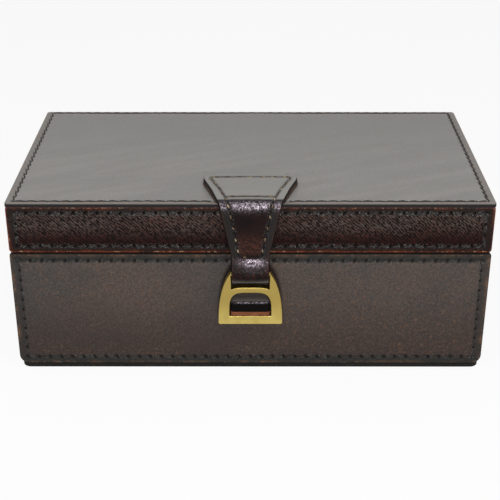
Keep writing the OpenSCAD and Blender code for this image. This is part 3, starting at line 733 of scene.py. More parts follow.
def row_ground(a, b, row):
    """Distance in from the stitch row (below zero outside it) and the count of stitches along it, whole at
    the needle holes."""
    row_a, low, top = row
    from_side = row_a - np.abs(a)
    from_level = np.minimum(b - low, top - b)
    inside = np.minimum(from_side, from_level)
    level = from_level < from_side
    slide = inside * math.tan(STITCH_SLANT)
    phase_a = (a + row_a + slide) / even_pitch(2 * row_a)
    phase_b = (b - low + slide) / even_pitch(top - low)
    return inside, np.where(level, phase_a, phase_b)


def panel_height(a, b, rim, inside, phase, thick, inset, look):
    """A panel's height over its back plane, by distance in from the outline and from the stitch row: a
    quarter round at the outline, a border lower by the sink, a pillow that rises from the row as one minus
    the square of what is left, a groove along the row, a dip at each needle hole, puckers beside it and soft
    ripples."""
    edge = look["edge"]
    hole = np.cos(2 * np.pi * phase)
    height = thick - look["sink"] * (1 - ramp(inside, 0, look["reach"])) ** 2
    height -= edge * (1 - np.sqrt(1 - ramp(rim, edge, 0) ** 2))
    height += look["border"] * np.sin(np.pi * ramp(rim, edge, edge + inset[1])) * (inside < 0)
    needle = bump_at(inside, HOLE_WIDTH) * np.clip(hole, 0, 1) ** 3
    height -= look["groove"] * bump_at(inside, GROOVE_WIDTH) + look["hole"] * needle
    height -= look["pucker"] * bump_at(inside, PUCKER_WIDTH) * (1 + hole) / 2
    ripple = waves(a, b, look["ripple_length"], look["seed"]) - 1
    return height + look["ripple"] * ripple * ramp(rim, 0, 3 * edge)


def panel(name, node, facing, material, inset, look):
    """A leather panel in its node's box, with the height above; also gives its stitch row and the level of
    its thread. Along the left and right sides the row's distances count for more, so the border that the
    material draws is narrower there."""
    middle, (across, up, out), (wide, high, thick) = node_place(node, facing)
    half_a, half_b = wide / 2, high / 2
    b, a = np.meshgrid(side_lines(high, look["edge"]), side_lines(wide, look["edge"]), indexing="ij")
    a, b, rim = round_corners(a, b, half_a, half_b, look["low_corner"], look["top_corner"])
    row = row_sides(half_a, half_b, inset)
    inside, phase = row_ground(a, b, row)
    height = panel_height(a, b, rim, inside, phase, thick, inset, look)
    face = middle + a[..., None] * across + b[..., None] * up + height[..., None] * out
    points, faces, down = closed_sheet(face, height, out, WALL_LINES)
    upright = ramp(half_b - np.abs(b) - half_a + np.abs(a), 0, UPRIGHT_FADE)
    narrow = 1 + look["side_narrow"] * upright
    top_edge = bump_at(rim - POLISH_INSET, POLISH_WIDTH) * ramp(b, half_b - POLISH_REACH, half_b)
    on_face = {
        "rim": rim / MM, "row": inside * narrow / MM, "upright": upright, "far": b / half_b,
        "polish": look["top_polish"] * top_edge, "phase": phase,
        "wear": 1 + (look["side_wear"] - 1) * upright,
    }
    on_sides = {"rim": -down * thick / MM, "row": np.full(down.shape, -BEYOND_MARKS)}
    attributes = {key: np.concatenate([values.ravel(), on_sides.get(key, 0 * down)])
                  for key, values in on_face.items()}
    obj = add_mesh(name, points, faces, material, attributes)
    sharpen(obj, PANEL_CREASE_ANGLE)
    return obj, row, float(thick - look["sink"] - look["groove"] * THREAD_SINK)


# Thread

def thread_shape(length, radius, rise, dive):
    """One stitch, as (along, across, out): a round thread, thinner at its ends by a sixth power, that arches
    over the leather by one minus a square and dives at both ends by a sixth power."""
    share = np.linspace(-1, 1, THREAD_RINGS)[:, None]
    angle = np.linspace(0, 2 * np.pi, THREAD_SIDES, endpoint=False)[None, :]
    thin = radius * np.sqrt(1 - THREAD_THINNING * share ** 6)
    along = share * length / 2 + 0 * angle
    across = thin * np.cos(angle)
    out = thin * np.sin(angle) + rise * (1 - share ** 2) - dive * share ** 6
    return np.stack([along, across, out], -1)


def stitches(name, places, directions, outs, shape, slant, material, seed, uneven=1.0):
    """Copies of one stitch, each set at its place along its direction, turned a little by the slant and by a
    small drawn angle, and sunk by a small drawn depth."""
    draw = np.random.default_rng(seed)
    turn = (slant + draw.normal(0, TURN_SPREAD * uneven, len(places)))[:, None]
    places = places - np.abs(draw.normal(0, DEPTH_SPREAD * uneven, len(places)))[:, None] * outs
    side = np.cross(outs, directions)
    along = np.cos(turn) * directions + np.sin(turn) * side
    across = np.cross(outs, along)
    rings, sides, _ = shape.shape
    local = shape.reshape(-1, 3)
    points = (places[:, None, :] + local[None, :, 0:1] * along[:, None, :]
              + local[None, :, 1:2] * across[:, None, :] + local[None, :, 2:3] * outs[:, None, :])
    step = (np.arange(len(places)) * rings * sides)[:, None, None]
    quads = (grid_faces(rings, sides, columns_close=True)[None] + step).reshape(-1, 4)
    first = (np.arange(sides)[None, None, ::-1] + step).reshape(-1, sides)
    last = (np.arange(sides)[None, None, :] + (rings - 1) * sides + step).reshape(-1, sides)
    return add_mesh(name, points, [quads, first, last], material)


def row_stitches(row, middle, axes, level, hidden):
    """Places, directions and outward directions of the stitches round a panel's row, without those whose
    middle falls in the hidden half width of its lower or upper line."""
    across, up, out = axes
    row_a, low, top = row
    places, directions = [], []
    for line, cover in ((low, hidden[0]), (top, hidden[1])):
        pitch = even_pitch(2 * row_a)
        a = np.arange(-row_a + pitch / 2, row_a, pitch)
        a = a[np.abs(a) >= cover]
        places.append(middle + a[:, None] * across + line * up + level * out)
        directions.append(np.repeat(across[None], len(a), 0))
    for side in (-row_a, row_a):
        pitch = even_pitch(top - low)
        b = np.arange(low + pitch / 2, top, pitch)
        places.append(middle + side * across + b[:, None] * up + level * out)
        directions.append(np.repeat(up[None], len(b), 0))
    places = np.concatenate(places)
    return places, np.concatenate(directions), np.repeat(out[None], len(places), 0)


def brass_mark(piece):
    """Paints a shadow on the leather behind the stirrup's shoulders, as a point attribute: one near the
    outline of a superellipse a little larger than the stirrup, fading out past it, further in and towards the
    foot."""
    points = np.empty(len(piece.data.vertices) * 3, np.float32)
    piece.data.vertices.foreach_get("co", points)
    x, _, z = points.reshape(-1, 3).T
    up = np.clip(z - float(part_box("stirrup")[0][2]), 0, None)
    side_share = (np.abs(x) / MARK_HALF_WIDTH) ** MARK_POWER
    reach = (side_share + (up / MARK_HEIGHT) ** MARK_POWER) ** (1 / MARK_POWER)
    share = np.clip((1 - reach) * MARK_HALF_WIDTH / MARK_FADE + 0.5, 0, 1)
    share = share * share * (3 - 2 * share)
    share *= ramp(reach, *MARK_INNER) * ramp(up, *MARK_FOOT)
    layer = piece.data.attributes.new("stain", "FLOAT", "POINT")
    layer.data.foreach_set("value", share.astype(np.float32))


PANEL_STITCH = thread_shape(STITCH_LENGTH, STITCH_RADIUS, rise=0.35 * MM, dive=0.75 * MM)
TOP_STITCH = thread_shape(TOP_STITCH_LENGTH, TOP_STITCH_RADIUS, rise=0.12 * MM, dive=0.45 * MM)

BODY_LOOK = {
    "edge": 0.7 * MM, "low_corner": 4.5 * MM, "top_corner": 1.3 * MM, "sink": 0.35 * MM, "reach": 7 * MM,
    "border": 0.1 * MM, "groove": 0.15 * MM, "hole": 0.35 * MM, "pucker": 0.3 * MM,
    "ripple": 0.08 * MM, "ripple_length": 26 * MM, "side_wear": 1.6, "side_narrow": 0.9, "top_polish": 0.0,
}
LID_SIDE_LOOK = {
    "edge": 0.8 * MM, "low_corner": 1.6 * MM, "top_corner": 1.6 * MM, "sink": 0.85 * MM, "reach": 8.5 * MM,
    "border": 0.2 * MM, "groove": 0.3 * MM, "hole": 0.35 * MM, "pucker": 0.35 * MM,
    "ripple": 0.08 * MM, "ripple_length": 14 * MM, "side_wear": 0.6, "side_narrow": 0.5, "top_polish": 0.5,
}
LID_TOP_LOOK = {
    "edge": 0.35 * MM, "low_corner": 1.8 * MM, "top_corner": 1.8 * MM, "sink": 0.2 * MM, "reach": 9 * MM,
    "border": 0.1 * MM, "groove": 0.35 * MM, "hole": 0.3 * MM, "pucker": 0.15 * MM,
    "ripple": 0.06 * MM, "ripple_length": 45 * MM, "side_wear": 1.0, "side_narrow": 0.0, "top_polish": 0.0,
}
BODY_INSET = (4.2 * MM, 3.8 * MM, 3.8 * MM)
LID_SIDE_INSET = (4.1 * MM, 3.5 * MM, 3.4 * MM)
LID_TOP_INSET = (3.5 * MM, 3.8 * MM, 1.8 * MM)
NOTHING_HIDDEN = (0.0, 0.0)

BODY_STYLE = ("case", "body_leather", BODY_LEATHER, BODY_INSET, BODY_LOOK)
LID_SIDE_STYLE = ("lid", "lid_leather", LID_SIDE_LEATHER, LID_SIDE_INSET, LID_SIDE_LOOK)
LID_TOP_STYLE = ("lid", "lid_leather", LID_TOP_LEATHER, LID_TOP_INSET, LID_TOP_LOOK)

# Panel: facing, style (body, slot, material, insets, look), half widths of the rows that the strap covers.
PANELS = {
    "case_front_leather": ("front", BODY_STYLE, (0.0, 9.0 * MM)),
    "case_back_leather": ("back", BODY_STYLE, NOTHING_HIDDEN),
    "case_left_leather": ("left", BODY_STYLE, NOTHING_HIDDEN),
    "case_right_leather": ("right", BODY_STYLE, NOTHING_HIDDEN),
    "lid_front_leather": ("front", LID_SIDE_STYLE, (9.8 * MM, 13.9 * MM)),
    "lid_back_leather": ("back", LID_SIDE_STYLE, NOTHING_HIDDEN),
    "lid_left_leather": ("left", LID_SIDE_STYLE, NOTHING_HIDDEN),
    "lid_right_leather": ("right", LID_SIDE_STYLE, NOTHING_HIDDEN),
    "lid_top_leather": ("top", LID_TOP_STYLE, (17.5 * MM, 0.0)),
}

for seed, (node, (facing, style, hidden)) in enumerate(PANELS.items()):
    body, slot, material, inset, look = style
    piece, row, level = panel(node + "_panel", node, facing, material, inset, dict(look, seed=seed))
    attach(piece, body)
    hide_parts(node)
    middle, axes, _ = node_place(node, facing)
    placed = row_stitches(row, middle, axes, level, hidden)
    # The body's front gets a painted shadow of the stirrup.
    if node == "case_front_leather":
        brass_mark(piece)
    shape, finish = (TOP_STITCH, TOP_THREAD) if facing == "top" else (PANEL_STITCH, DARK_THREAD)
    sewing = stitches(node.replace("leather", "stitches"), *placed, shape, STITCH_SLANT, finish, seed)
    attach(sewing, body)


# Strap

FRONT_Y = float(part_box("lid_front_leather")[0][1])
LID_TOP_Z = float(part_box("lid_top_leather")[1][2])
TAB_Z = float(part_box("strap_tab")[1][2]) - STRAP_THICK / 2
TAB_END_U = FRONT_Y - float(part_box("strap_tab")[1][1])
FRONT_U = STRAP_GAP + 1.5 * STRAP_THICK
BACK_U = STRAP_GAP + STRAP_THICK / 2
BEND_U = FRONT_U - BEND_RADIUS
BEND_Z = TAB_Z - TAB_SAG - BEND_RADIUS
SAG_U = BEND_U - SAG_LENGTH
PINCH_Z = float(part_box("case_front_leather")[1][2]) + PINCH_RISE
FOLD_END_Z = LID_TOP_Z - FOLD_END_DROP
BAR_U = BACK_U + LOOP_RADIUS
BAR_Z = float(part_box("strap_tongue")[0][2]) + LOOP_RADIUS + STRAP_THICK / 2
BULGE_Z = BAR_Z + BULGE_RISE
BEND_RUN = SAG_U - TAB_END_U + math.hypot(SAG_LENGTH, TAB_SAG)
CREASE_RUN = BEND_RUN + BEND_RADIUS * np.pi / 4
FRONT_RUN = BEND_RUN + BEND_RADIUS * np.pi / 2
PINCH_RUN = FRONT_RUN + BEND_Z - PINCH_Z
TAB_TAPER = (TAB_HALF_WIDTH - EDGE_HALF_WIDTH) / BEND_RUN
TONGUE_TAPER = (CREASE_HALF_WIDTH - LOOP_HALF_WIDTH) / (PINCH_RUN - CREASE_RUN)


def arc(centre_u, centre_z, radius, start, end):
    """Points on a circle's arc, angles in radians from the front, at about the path's step."""
    angle = np.linspace(start, end, int(radius * abs(end - start) / PATH_STEP))
    return np.stack([centre_u + radius * np.cos(angle), centre_z + radius * np.sin(angle)], -1)


def strap_path():
    """The strap's middle line (u, z) and the distance along it: along the tab, which sags towards its front,
    round the lid's edge, down the front, out over a quarter ellipse, hollowed by a power so that the
    stirrup's rail can swing past, on to a circle round the bar, and up behind to the fold's end; then
    made even and softened by a bell-shaped average. Points are closer at the tab's end."""
    swell = np.linspace(0, np.pi / 2, BULGE_POINTS)
    bulge = np.stack([FRONT_U + (BAR_U + LOOP_RADIUS - FRONT_U) * np.sin(swell) ** BULGE_POWER,
                      BULGE_Z + (PINCH_Z - BULGE_Z) * np.cos(swell)], -1)
    corners = np.concatenate([
        [(TAB_END_U, TAB_Z), (SAG_U, TAB_Z)],
        arc(BEND_U, BEND_Z, BEND_RADIUS, np.pi / 2, 0.0),
        bulge,
        arc(BAR_U, BAR_Z, LOOP_RADIUS, 0.0, -np.pi),
        [(BACK_U, FOLD_END_Z)],
    ])
    run = np.concatenate([[0], np.cumsum(np.hypot(*np.diff(corners, axis=0).T))])
    even = np.arange(0, run[-1], PATH_STEP)
    line = np.stack([np.interp(even, run, corners[:, 0]), np.interp(even, run, corners[:, 1])], -1)
    reach_steps = int(3 * PATH_SOFTNESS / PATH_STEP)
    bell = bump_at(np.arange(-reach_steps, reach_steps + 1) * PATH_STEP, PATH_SOFTNESS * math.sqrt(2))
    padded = np.concatenate([
        2 * line[0] - line[reach_steps:0:-1], line, 2 * line[-1] - line[-2:-reach_steps - 2:-1]])
    soft = np.stack([np.convolve(padded[:, k], bell / bell.sum(), "valid") for k in (0, 1)], -1)
    later = np.arange(TAB_END_POINTS, len(even), round(STRAP_STEP / PATH_STEP))
    kept = np.concatenate([np.arange(TAB_END_POINTS), later])
    return soft[kept], even[kept]


def strap_side(run):
    """Half the strap's width from its tapers: one along the tab, a steeper turn at the edge, one to the
    pinch."""
    return np.interp(run, (0, BEND_RUN, CREASE_RUN, PINCH_RUN),
                     (TAB_HALF_WIDTH, EDGE_HALF_WIDTH, CREASE_HALF_WIDTH, LOOP_HALF_WIDTH))


def strap_half_width(run, z, fold_run):
    """Half the strap's width: the tapers to the pinch, the loop's width round the bar, and behind the front
    layer a little less than the layer that covers it; the tab's end corners are arcs that touch its sides."""
    under_inset = UNDER_INSET * ramp(run, fold_run, fold_run + UNDER_FADE)
    under = LOOP_HALF_WIDTH + TONGUE_TAPER * np.clip(z - PINCH_Z, 0, None) - under_inset
    spread = LOOP_SPREAD * bump_at(run - PINCH_RUN - SPREAD_PLACE, SPREAD_LENGTH)
    half = np.where(run > fold_run, under, strap_side(run) + spread)
    lean = math.atan(TAB_TAPER)
    centre = TAB_HALF_WIDTH - TAB_TAPER * TAB_CORNER - TAB_CORNER / math.cos(lean)
    from_centre = np.clip(TAB_CORNER - run, -TAB_CORNER, TAB_CORNER)
    corner = centre + np.sqrt(TAB_CORNER ** 2 - from_centre ** 2)
    return np.where(run < TAB_CORNER * (1 + math.sin(lean)), corner, half)


def strap_inset(run):
    """Distance of the strap's side stitch rows from its edge."""
    return np.interp(run, (0, TAB_FRONT_ROW, PINCH_RUN), (INSET_TAB_BACK, INSET_TAB_FRONT, INSET_PINCH))


def path_normals(line):
    """Outward directions along a path of (u, z) points: its tangent turned a quarter turn to the left."""
    tangent = np.gradient(line, axis=0)
    tangent /= np.hypot(tangent[:, 0], tangent[:, 1])[:, None]
    return np.stack([-tangent[:, 1], tangent[:, 0]], -1)


STRAP_LINE, STRAP_RUN = strap_path()
STRAP_OUT = path_normals(STRAP_LINE)
LOOP_BOTTOM = int(np.argmin(STRAP_LINE[:, 1]))
FOLD_RUN = float(STRAP_RUN[LOOP_BOTTOM])
FACE_POINTS = 61
EDGE_POINTS = 7
BACK_POINTS = 15
STRAP_CREASE_ANGLE = 60


def strap_rows(run, from_edge, inset):
    """One on the strap's stitch rows, falling off beside them as a bell curve: the side rows, and the rows
    across at the tab's back, the tab's front and the pinch."""
    rows = bump_at(from_edge - inset, ROW_WIDTH) * (run > TAB_BACK_ROW - ROW_OVERLAP)
    for place in (TAB_BACK_ROW, TAB_FRONT_ROW, PINCH_RUN):
        rows = np.maximum(rows, bump_at(run - place, ROW_WIDTH) * (from_edge > inset - ROW_OVERLAP))
    return rows


def strap_relief(run, half, inset, face, rows, sewn):
    """How far the outer face stands over a flat strap: a pillow between the stitch rows of one minus the
    square of what is left, fuller on the front; a groove under each row, deeper at the needle holes; a crown
    on the loop of one minus the square across; soft ripples; and a quarter round at the tab's end."""
    on_front = ramp(run, BEND_RUN, BEND_RUN + PILLOW_FILL) * ramp(run, PINCH_RUN + PILLOW_FADE, PINCH_RUN)
    rise = ramp(half - np.abs(face), inset, half)
    pillow = (TAB_PILLOW + FRONT_PILLOW * on_front) * (1 - (1 - rise) ** 2)
    holes = 0.5 + 0.5 * np.cos(2 * np.pi * run / STRAP_STITCH_PITCH)
    groove = (ROW_GROOVE + HOLE_GROOVE * holes ** 2) * rows
    past_pinch = run - PINCH_RUN - CROWN_START
    on_loop = ramp(past_pinch, 0, CROWN_FILL) * ramp(FOLD_RUN - run, 0, CROWN_FADE)
    crown = LOOP_CROWN * on_loop * (1 - (face / (half - STRAP_EDGE)) ** 2)
    ripple = STRAP_RIPPLE * waves(face, run + 0 * face, STRAP_RIPPLE_LENGTH, STRAP_RIPPLE_SEED)
    end_round = STRAP_EDGE * (1 - np.sqrt(1 - ramp(run, STRAP_EDGE, 0) ** 2))
    return sewn * (pillow - groove) + crown + ripple - end_round


def strap_marks(run, half, inset, across, rows, sewn):
    """The strap's attributes: its edges' dye, the stitch rows as holes and a painted shade line past the
    bend, painted sheen on the tab and painted reflected light on the fold under the loop, burnish on the bend
    and on the slope of the loop, and redder dye."""
    on_face = np.zeros(across.shape)
    on_face[:, :FACE_POINTS] = 1
    rim = np.minimum(half - np.abs(across), run) / MM
    for edge in (slice(FACE_POINTS, FACE_POINTS + EDGE_POINTS), slice(-EDGE_POINTS, None)):
        rim[:, edge] = -STRAP_EDGE / MM
    row = np.where(sewn > 0, (half - np.abs(across) - inset) / MM, BEYOND_MARKS)
    # Painted shade: a dark line past the bend; painted reflected light on the fold under the loop.
    bend_line, pale_fold = (share * bump_at(run - start - place, width) for start, (place, width, share) in (
        (BEND_RUN, BEND_LINE), (FOLD_RUN, PALE_FOLD)))
    hole = np.zeros(across.shape)
    hole[:, :FACE_POINTS] = np.maximum(sewn * rows, bend_line)
    # Painted sheen: the tab's top greyed like the lid top, with the painted fold light added.
    tab = ramp(run, BEND_RUN + FADED_END, BEND_RUN - FADED_END) + pale_fold + 0 * row
    bend_middle = BEND_RUN + BEND_POLISH_SHARE * (FRONT_RUN - BEND_RUN)
    on_bend = bump_at(run - bend_middle, STRAP_POLISH_LENGTH) * (1 - 0.5 * np.abs(across) / half)
    on_slope = bump_at(run - PINCH_RUN - SLOPE_POLISH_PLACE, STRAP_POLISH_LENGTH) * bump_at(
        across - SLOPE_POLISH_SIDE, SLOPE_POLISH_WIDTH)
    polish = np.clip(STRAP_POLISH * (on_bend + on_slope), 0, 1) * on_face * (1 - hole)
    over_pinch = bump_at(run - PINCH_RUN - WARM_PLACE, WARM_LENGTH) * (run < PINCH_RUN)
    warm = WARM_SHARE * over_pinch * np.clip(row, 0, 1)
    return {"rim": rim, "row": row, "hole": hole, "tab": tab, "polish": polish, "warm": warm, "wear": on_face}


def strap_sections():
    """Points and attributes of the strap's closed ribbon. Each section is an outer face with its relief, two
    round edges and a flat inner face."""
    half = strap_half_width(STRAP_RUN, STRAP_LINE[:, 1], FOLD_RUN)[:, None]
    inset = strap_inset(STRAP_RUN)[:, None]
    run = STRAP_RUN[:, None]
    flat = half - STRAP_EDGE
    face = np.linspace(-1, 1, FACE_POINTS)[None, :] * flat
    turn = np.linspace(np.pi / 2, -np.pi / 2, EDGE_POINTS + 2)[1:-1][None, :]
    back = np.linspace(1, -1, BACK_POINTS)[None, :] * flat
    rows = strap_rows(run, half - np.abs(face), inset)
    sewn = ramp(run, PINCH_RUN + SEAM_FADE, PINCH_RUN)
    face_out = STRAP_THICK / 2 + strap_relief(run, half, inset, face, rows, sewn)
    edge_side = flat + STRAP_EDGE * np.cos(turn)
    edge_out = STRAP_THICK / 2 * np.sin(turn) + 0 * flat
    back_out = -STRAP_THICK / 2 + 0 * back
    across = np.concatenate([face, edge_side, back, -edge_side[:, ::-1]], 1)
    out = np.concatenate([face_out, edge_out, back_out, edge_out[:, ::-1]], 1)
    uz = STRAP_LINE[:, None, :] + out[..., None] * STRAP_OUT[:, None, :]
    points = np.stack([across, FRONT_Y - uz[..., 0], uz[..., 1]], -1)
    return points, strap_marks(run, half, inset, across, rows, sewn)


strap_points, strap_attributes = strap_sections()
strap = tube_piece("strap", strap_points[:, ::-1], STRAP_LEATHER,
                   attributes={key: value[:, ::-1] for key, value in strap_attributes.items()})
sharpen(strap, STRAP_CREASE_ANGLE)
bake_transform(strap)
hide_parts("strap_tab", "strap_tongue")


def strap_point(across, run, lift):
    """Points on the strap's outer face, from their distances across and along it, and their outward
    directions."""
    line = np.stack([np.interp(run, STRAP_RUN, STRAP_LINE[:, k]) for k in (0, 1)], -1)
    out = np.stack([np.interp(run, STRAP_RUN, STRAP_OUT[:, k]) for k in (0, 1)], -1)
    out /= np.hypot(out[:, 0], out[:, 1])[:, None]
    uz = line + (STRAP_THICK / 2 + lift) * out
    places = np.stack([across, FRONT_Y - uz[:, 0], uz[:, 1]], -1)
    return places, np.stack([0 * run, -out[:, 0], out[:, 1]], -1)


def strap_row(start, end):
    """Stitches on the strap in a straight row between two (across, along) points on its surface."""
    start, end = np.array(start), np.array(end)
    count = max(1, round(np.hypot(*(end - start)) / STRAP_STITCH_PITCH))
    share = ((np.arange(count) + 0.5) / count)[:, None]
    small = 0.01
    (behind, _), (places, outs), (ahead, _) = (
        strap_point(*(start + (end - start) * (share + step)).T, SEWING_LIFT) for step in (-small, 0, small))
    along = ahead - behind
    return places, along / np.linalg.norm(along, axis=1)[:, None], outs


def row_at(run):
    """How far out the strap's side rows lie at a distance along it."""
    return float(strap_side(run) - strap_inset(run))


def row_across(run):
    """The row across the strap at a distance along it, from one side row to the other."""
    return strap_row((-row_at(run), run), (row_at(run), run))


def both_sides(start_run, end_run):
    """The two side rows between two distances along the strap."""
    return [strap_row((side * row_at(start_run), start_run), (side * row_at(end_run), end_run))
            for side in (-1, 1)]


def joined(rows):
    """Several rows' places, directions and outward directions as one set of arrays."""
    return [np.concatenate(parts) for parts in zip(*rows)]


TAB_STITCH = thread_shape(TAB_STITCH_LENGTH, TAB_STITCH_RADIUS, rise=0.2 * MM, dive=0.5 * MM)
TONGUE_STITCH = thread_shape(TONGUE_STITCH_LENGTH, TONGUE_STITCH_RADIUS, rise=0.3 * MM, dive=0.6 * MM)
TAB_SEED = 50
TONGUE_SEED = 51
TONGUE_UNEVEN = 3.0
tab_rows = joined([
    row_across(TAB_BACK_ROW), row_across(TAB_FRONT_ROW), *both_sides(TAB_BACK_ROW, TAB_FRONT_ROW)])
tab_sewing = stitches("strap_tab_stitches", *tab_rows, TAB_STITCH, STITCH_SLANT, TAB_THREAD, TAB_SEED)
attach(tab_sewing, "lid")
tongue_rows = joined([
    row_across(PINCH_RUN), *both_sides(TAB_FRONT_ROW, FRONT_RUN), *both_sides(FRONT_RUN, PINCH_RUN)])
tongue_sewing = stitches("strap_tongue_stitches", *tongue_rows, TONGUE_STITCH, STITCH_SLANT, TAN_THREAD,
                         TONGUE_SEED, TONGUE_UNEVEN)
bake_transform(tongue_sewing)


def filler_rings():
    """Rings of the leather layer under the tab: a little wider than the tab, flat on the lid, its top under
    the tab and its sides bulged by a half round."""
    corner_run = np.linspace(FILLER_START, FILLER_CORNER, FILLER_CORNER_LINES)
    even_run = np.arange(FILLER_CORNER + STRAP_STEP, BEND_RUN - STRAP_STEP, STRAP_STEP)
    run = np.concatenate([corner_run, even_run])
    u, z = (np.interp(run, STRAP_RUN, STRAP_LINE[:, k])[:, None] for k in (0, 1))
    half = strap_half_width(run, z[:, 0], FOLD_RUN)[:, None] + FILLER_PROUD - FILLER_BULGE
    top = z - STRAP_THICK / 2 - FILLER_GAP
    turn = np.linspace(np.pi / 2, -np.pi / 2, EDGE_POINTS)[None, :]
    side = half + FILLER_BULGE * np.cos(turn)
    level = (top + LID_TOP_Z) / 2 + (top - LID_TOP_Z) / 2 * np.sin(turn)
    x = np.concatenate([side, -side[:, ::-1]], 1)
    return np.stack([x, FRONT_Y - u + 0 * x, np.concatenate([level, level[:, ::-1]], 1)], -1)


filler = tube_piece("strap_filler", filler_rings()[:, ::-1], FILLER_CUT)
sharpen(filler, STRAP_CREASE_ANGLE)
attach(filler, "lid")
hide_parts("strap_tab_filler")


# Stirrup

STIRRUP_Z = float(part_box("stirrup")[0][2])
STIRRUP_Y = float(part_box("stirrup")[0][1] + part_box("stirrup")[1][1]) / 2
STIRRUP_THICK = float(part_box("stirrup")[1][1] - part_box("stirrup")[0][1])


def superellipse(half_width, height, power, base, start, end):
    """The upper half of a superellipse from one height to another on its right side, as (x, height) points,
    spaced by angle: x falls off as one minus the height's power, to the inverse power."""
    angle = np.linspace(math.asin((start / height) ** (power / 2)), math.asin((end / height) ** (power / 2)),
                        ROUND_STEPS)
    x = half_width * np.cos(angle) ** (2 / power)
    return np.stack([x, base + height * np.sin(angle) ** (2 / power)], -1)


def height_at(half_width, height, power, x):
    """Height of a superellipse over its base at x."""
    return height * (1 - (x / half_width) ** power) ** (1 / power)


def mirrored(right):
    """An outline from its right half, bottom to top, joined to the same half mirrored."""
    return np.concatenate([right, right[::-1] * (-1, 1)])


def stirrup_outlines():
    """The stirrup's outer outline, a superellipse cut by the strap's slot, and its eye."""
    horn = height_at(STIRRUP_HALF_WIDTH, STIRRUP_HEIGHT, STIRRUP_POWER, SLOT_HALF_WIDTH + 2 * TIP_RADIUS)
    flank = superellipse(STIRRUP_HALF_WIDTH, STIRRUP_HEIGHT, STIRRUP_POWER, 0, FOOT_CORNER, horn)
    turn = np.linspace(-np.pi / 2, 0, FOOT_POINTS)
    foot = np.stack([STIRRUP_HALF_WIDTH - FOOT_CORNER + FOOT_CORNER * np.cos(turn),
                     FOOT_CORNER + FOOT_CORNER * np.sin(turn)], -1)[:-1]
    rail_half = EYE_HALF_WIDTH + CROSSBAR
    rail_height = EYE_HEIGHT + CROSSBAR
    x = np.linspace(SLOT_HALF_WIDTH, 0, ROUND_STEPS // 2)
    rail = np.stack([x, EYE_BASE + height_at(rail_half, rail_height, EYE_POWER, x)], -1)
    half_turn = np.linspace(0, np.pi, TIP_POINTS)[1:]
    tip = np.stack([SLOT_HALF_WIDTH + TIP_RADIUS * (1 + np.cos(half_turn)),
                    horn + TIP_RADIUS * np.sin(half_turn)], -1)
    outer = mirrored(np.concatenate([foot, flank, tip, rail]))
    eye = mirrored(superellipse(EYE_HALF_WIDTH, EYE_HEIGHT, EYE_POWER, EYE_BASE, 0, EYE_HEIGHT)[:-1])
    return outer, eye


def flat_plate(name, outlines, thick, broken, place, material):
    """A flat plate filled between outlines, its edges broken to a small round, stood up to face the front."""
    curve = bpy.data.curves.new(name, "CURVE")
    curve.dimensions = "2D"
    curve.fill_mode = "BOTH"
    curve.extrude = thick / 2 - broken
    curve.bevel_depth = broken
    curve.bevel_resolution = 3
    curve.offset = -broken
    for outline in outlines:
        spline = curve.splines.new("POLY")
        spline.points.add(len(outline) - 1)
        flat = np.concatenate([outline, np.zeros((len(outline), 1)), np.ones((len(outline), 1))], 1)
        spline.points.foreach_set("co", flat.astype(np.float32).ravel())
        spline.use_cyclic_u = True
    made = in_scene(name + "_outline", curve)
    bpy.context.view_layer.update()
    mesh = bpy.data.meshes.new_from_object(made.evaluated_get(bpy.context.evaluated_depsgraph_get()))
    bpy.data.objects.remove(made)
    mesh.transform(Matrix.Translation(place) @ Matrix.Rotation(np.pi / 2, 4, "X"))
    welded = bmesh.new()
    welded.from_mesh(mesh)
    bmesh.ops.remove_doubles(welded, verts=welded.verts[:], dist=WELD)
    welded.to_mesh(mesh)
    welded.free()
    mesh.name = name
    obj = in_scene(name, mesh)
    mesh.materials.clear()
    mesh.materials.append(material)
    mesh.polygons.foreach_set("use_smooth", np.ones(len(mesh.polygons), bool))
    sharpen(obj, degrees=32)
    return obj


def rod(name, half_length, y, z, radius, material):
    """A round rod along X."""
    angle = np.linspace(0, 2 * np.pi, ROUND_STEPS, endpoint=False)
    ring = np.stack([0 * angle, y + radius * np.cos(angle), z + radius * np.sin(angle)], -1)
    rings = np.stack([ring - X_AXIS * half_length, ring + X_AXIS * half_length])
    obj = tube_piece(name, rings, material)
    sharpen(obj, degrees=40)
    return obj


stirrup = flat_plate("stirrup_plate", stirrup_outlines(), STIRRUP_THICK, STIRRUP_BREAK,
                     (0, STIRRUP_Y, STIRRUP_Z), BRASS)
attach(stirrup, "stirrup")
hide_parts("stirrup")
stirrup_bar = rod("stirrup_bar", SLOT_HALF_WIDTH + BAR_OVERLAP, STIRRUP_Y, BAR_Z, BAR_RADIUS, BRASS)
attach(stirrup_bar, "stirrup")


# Catch

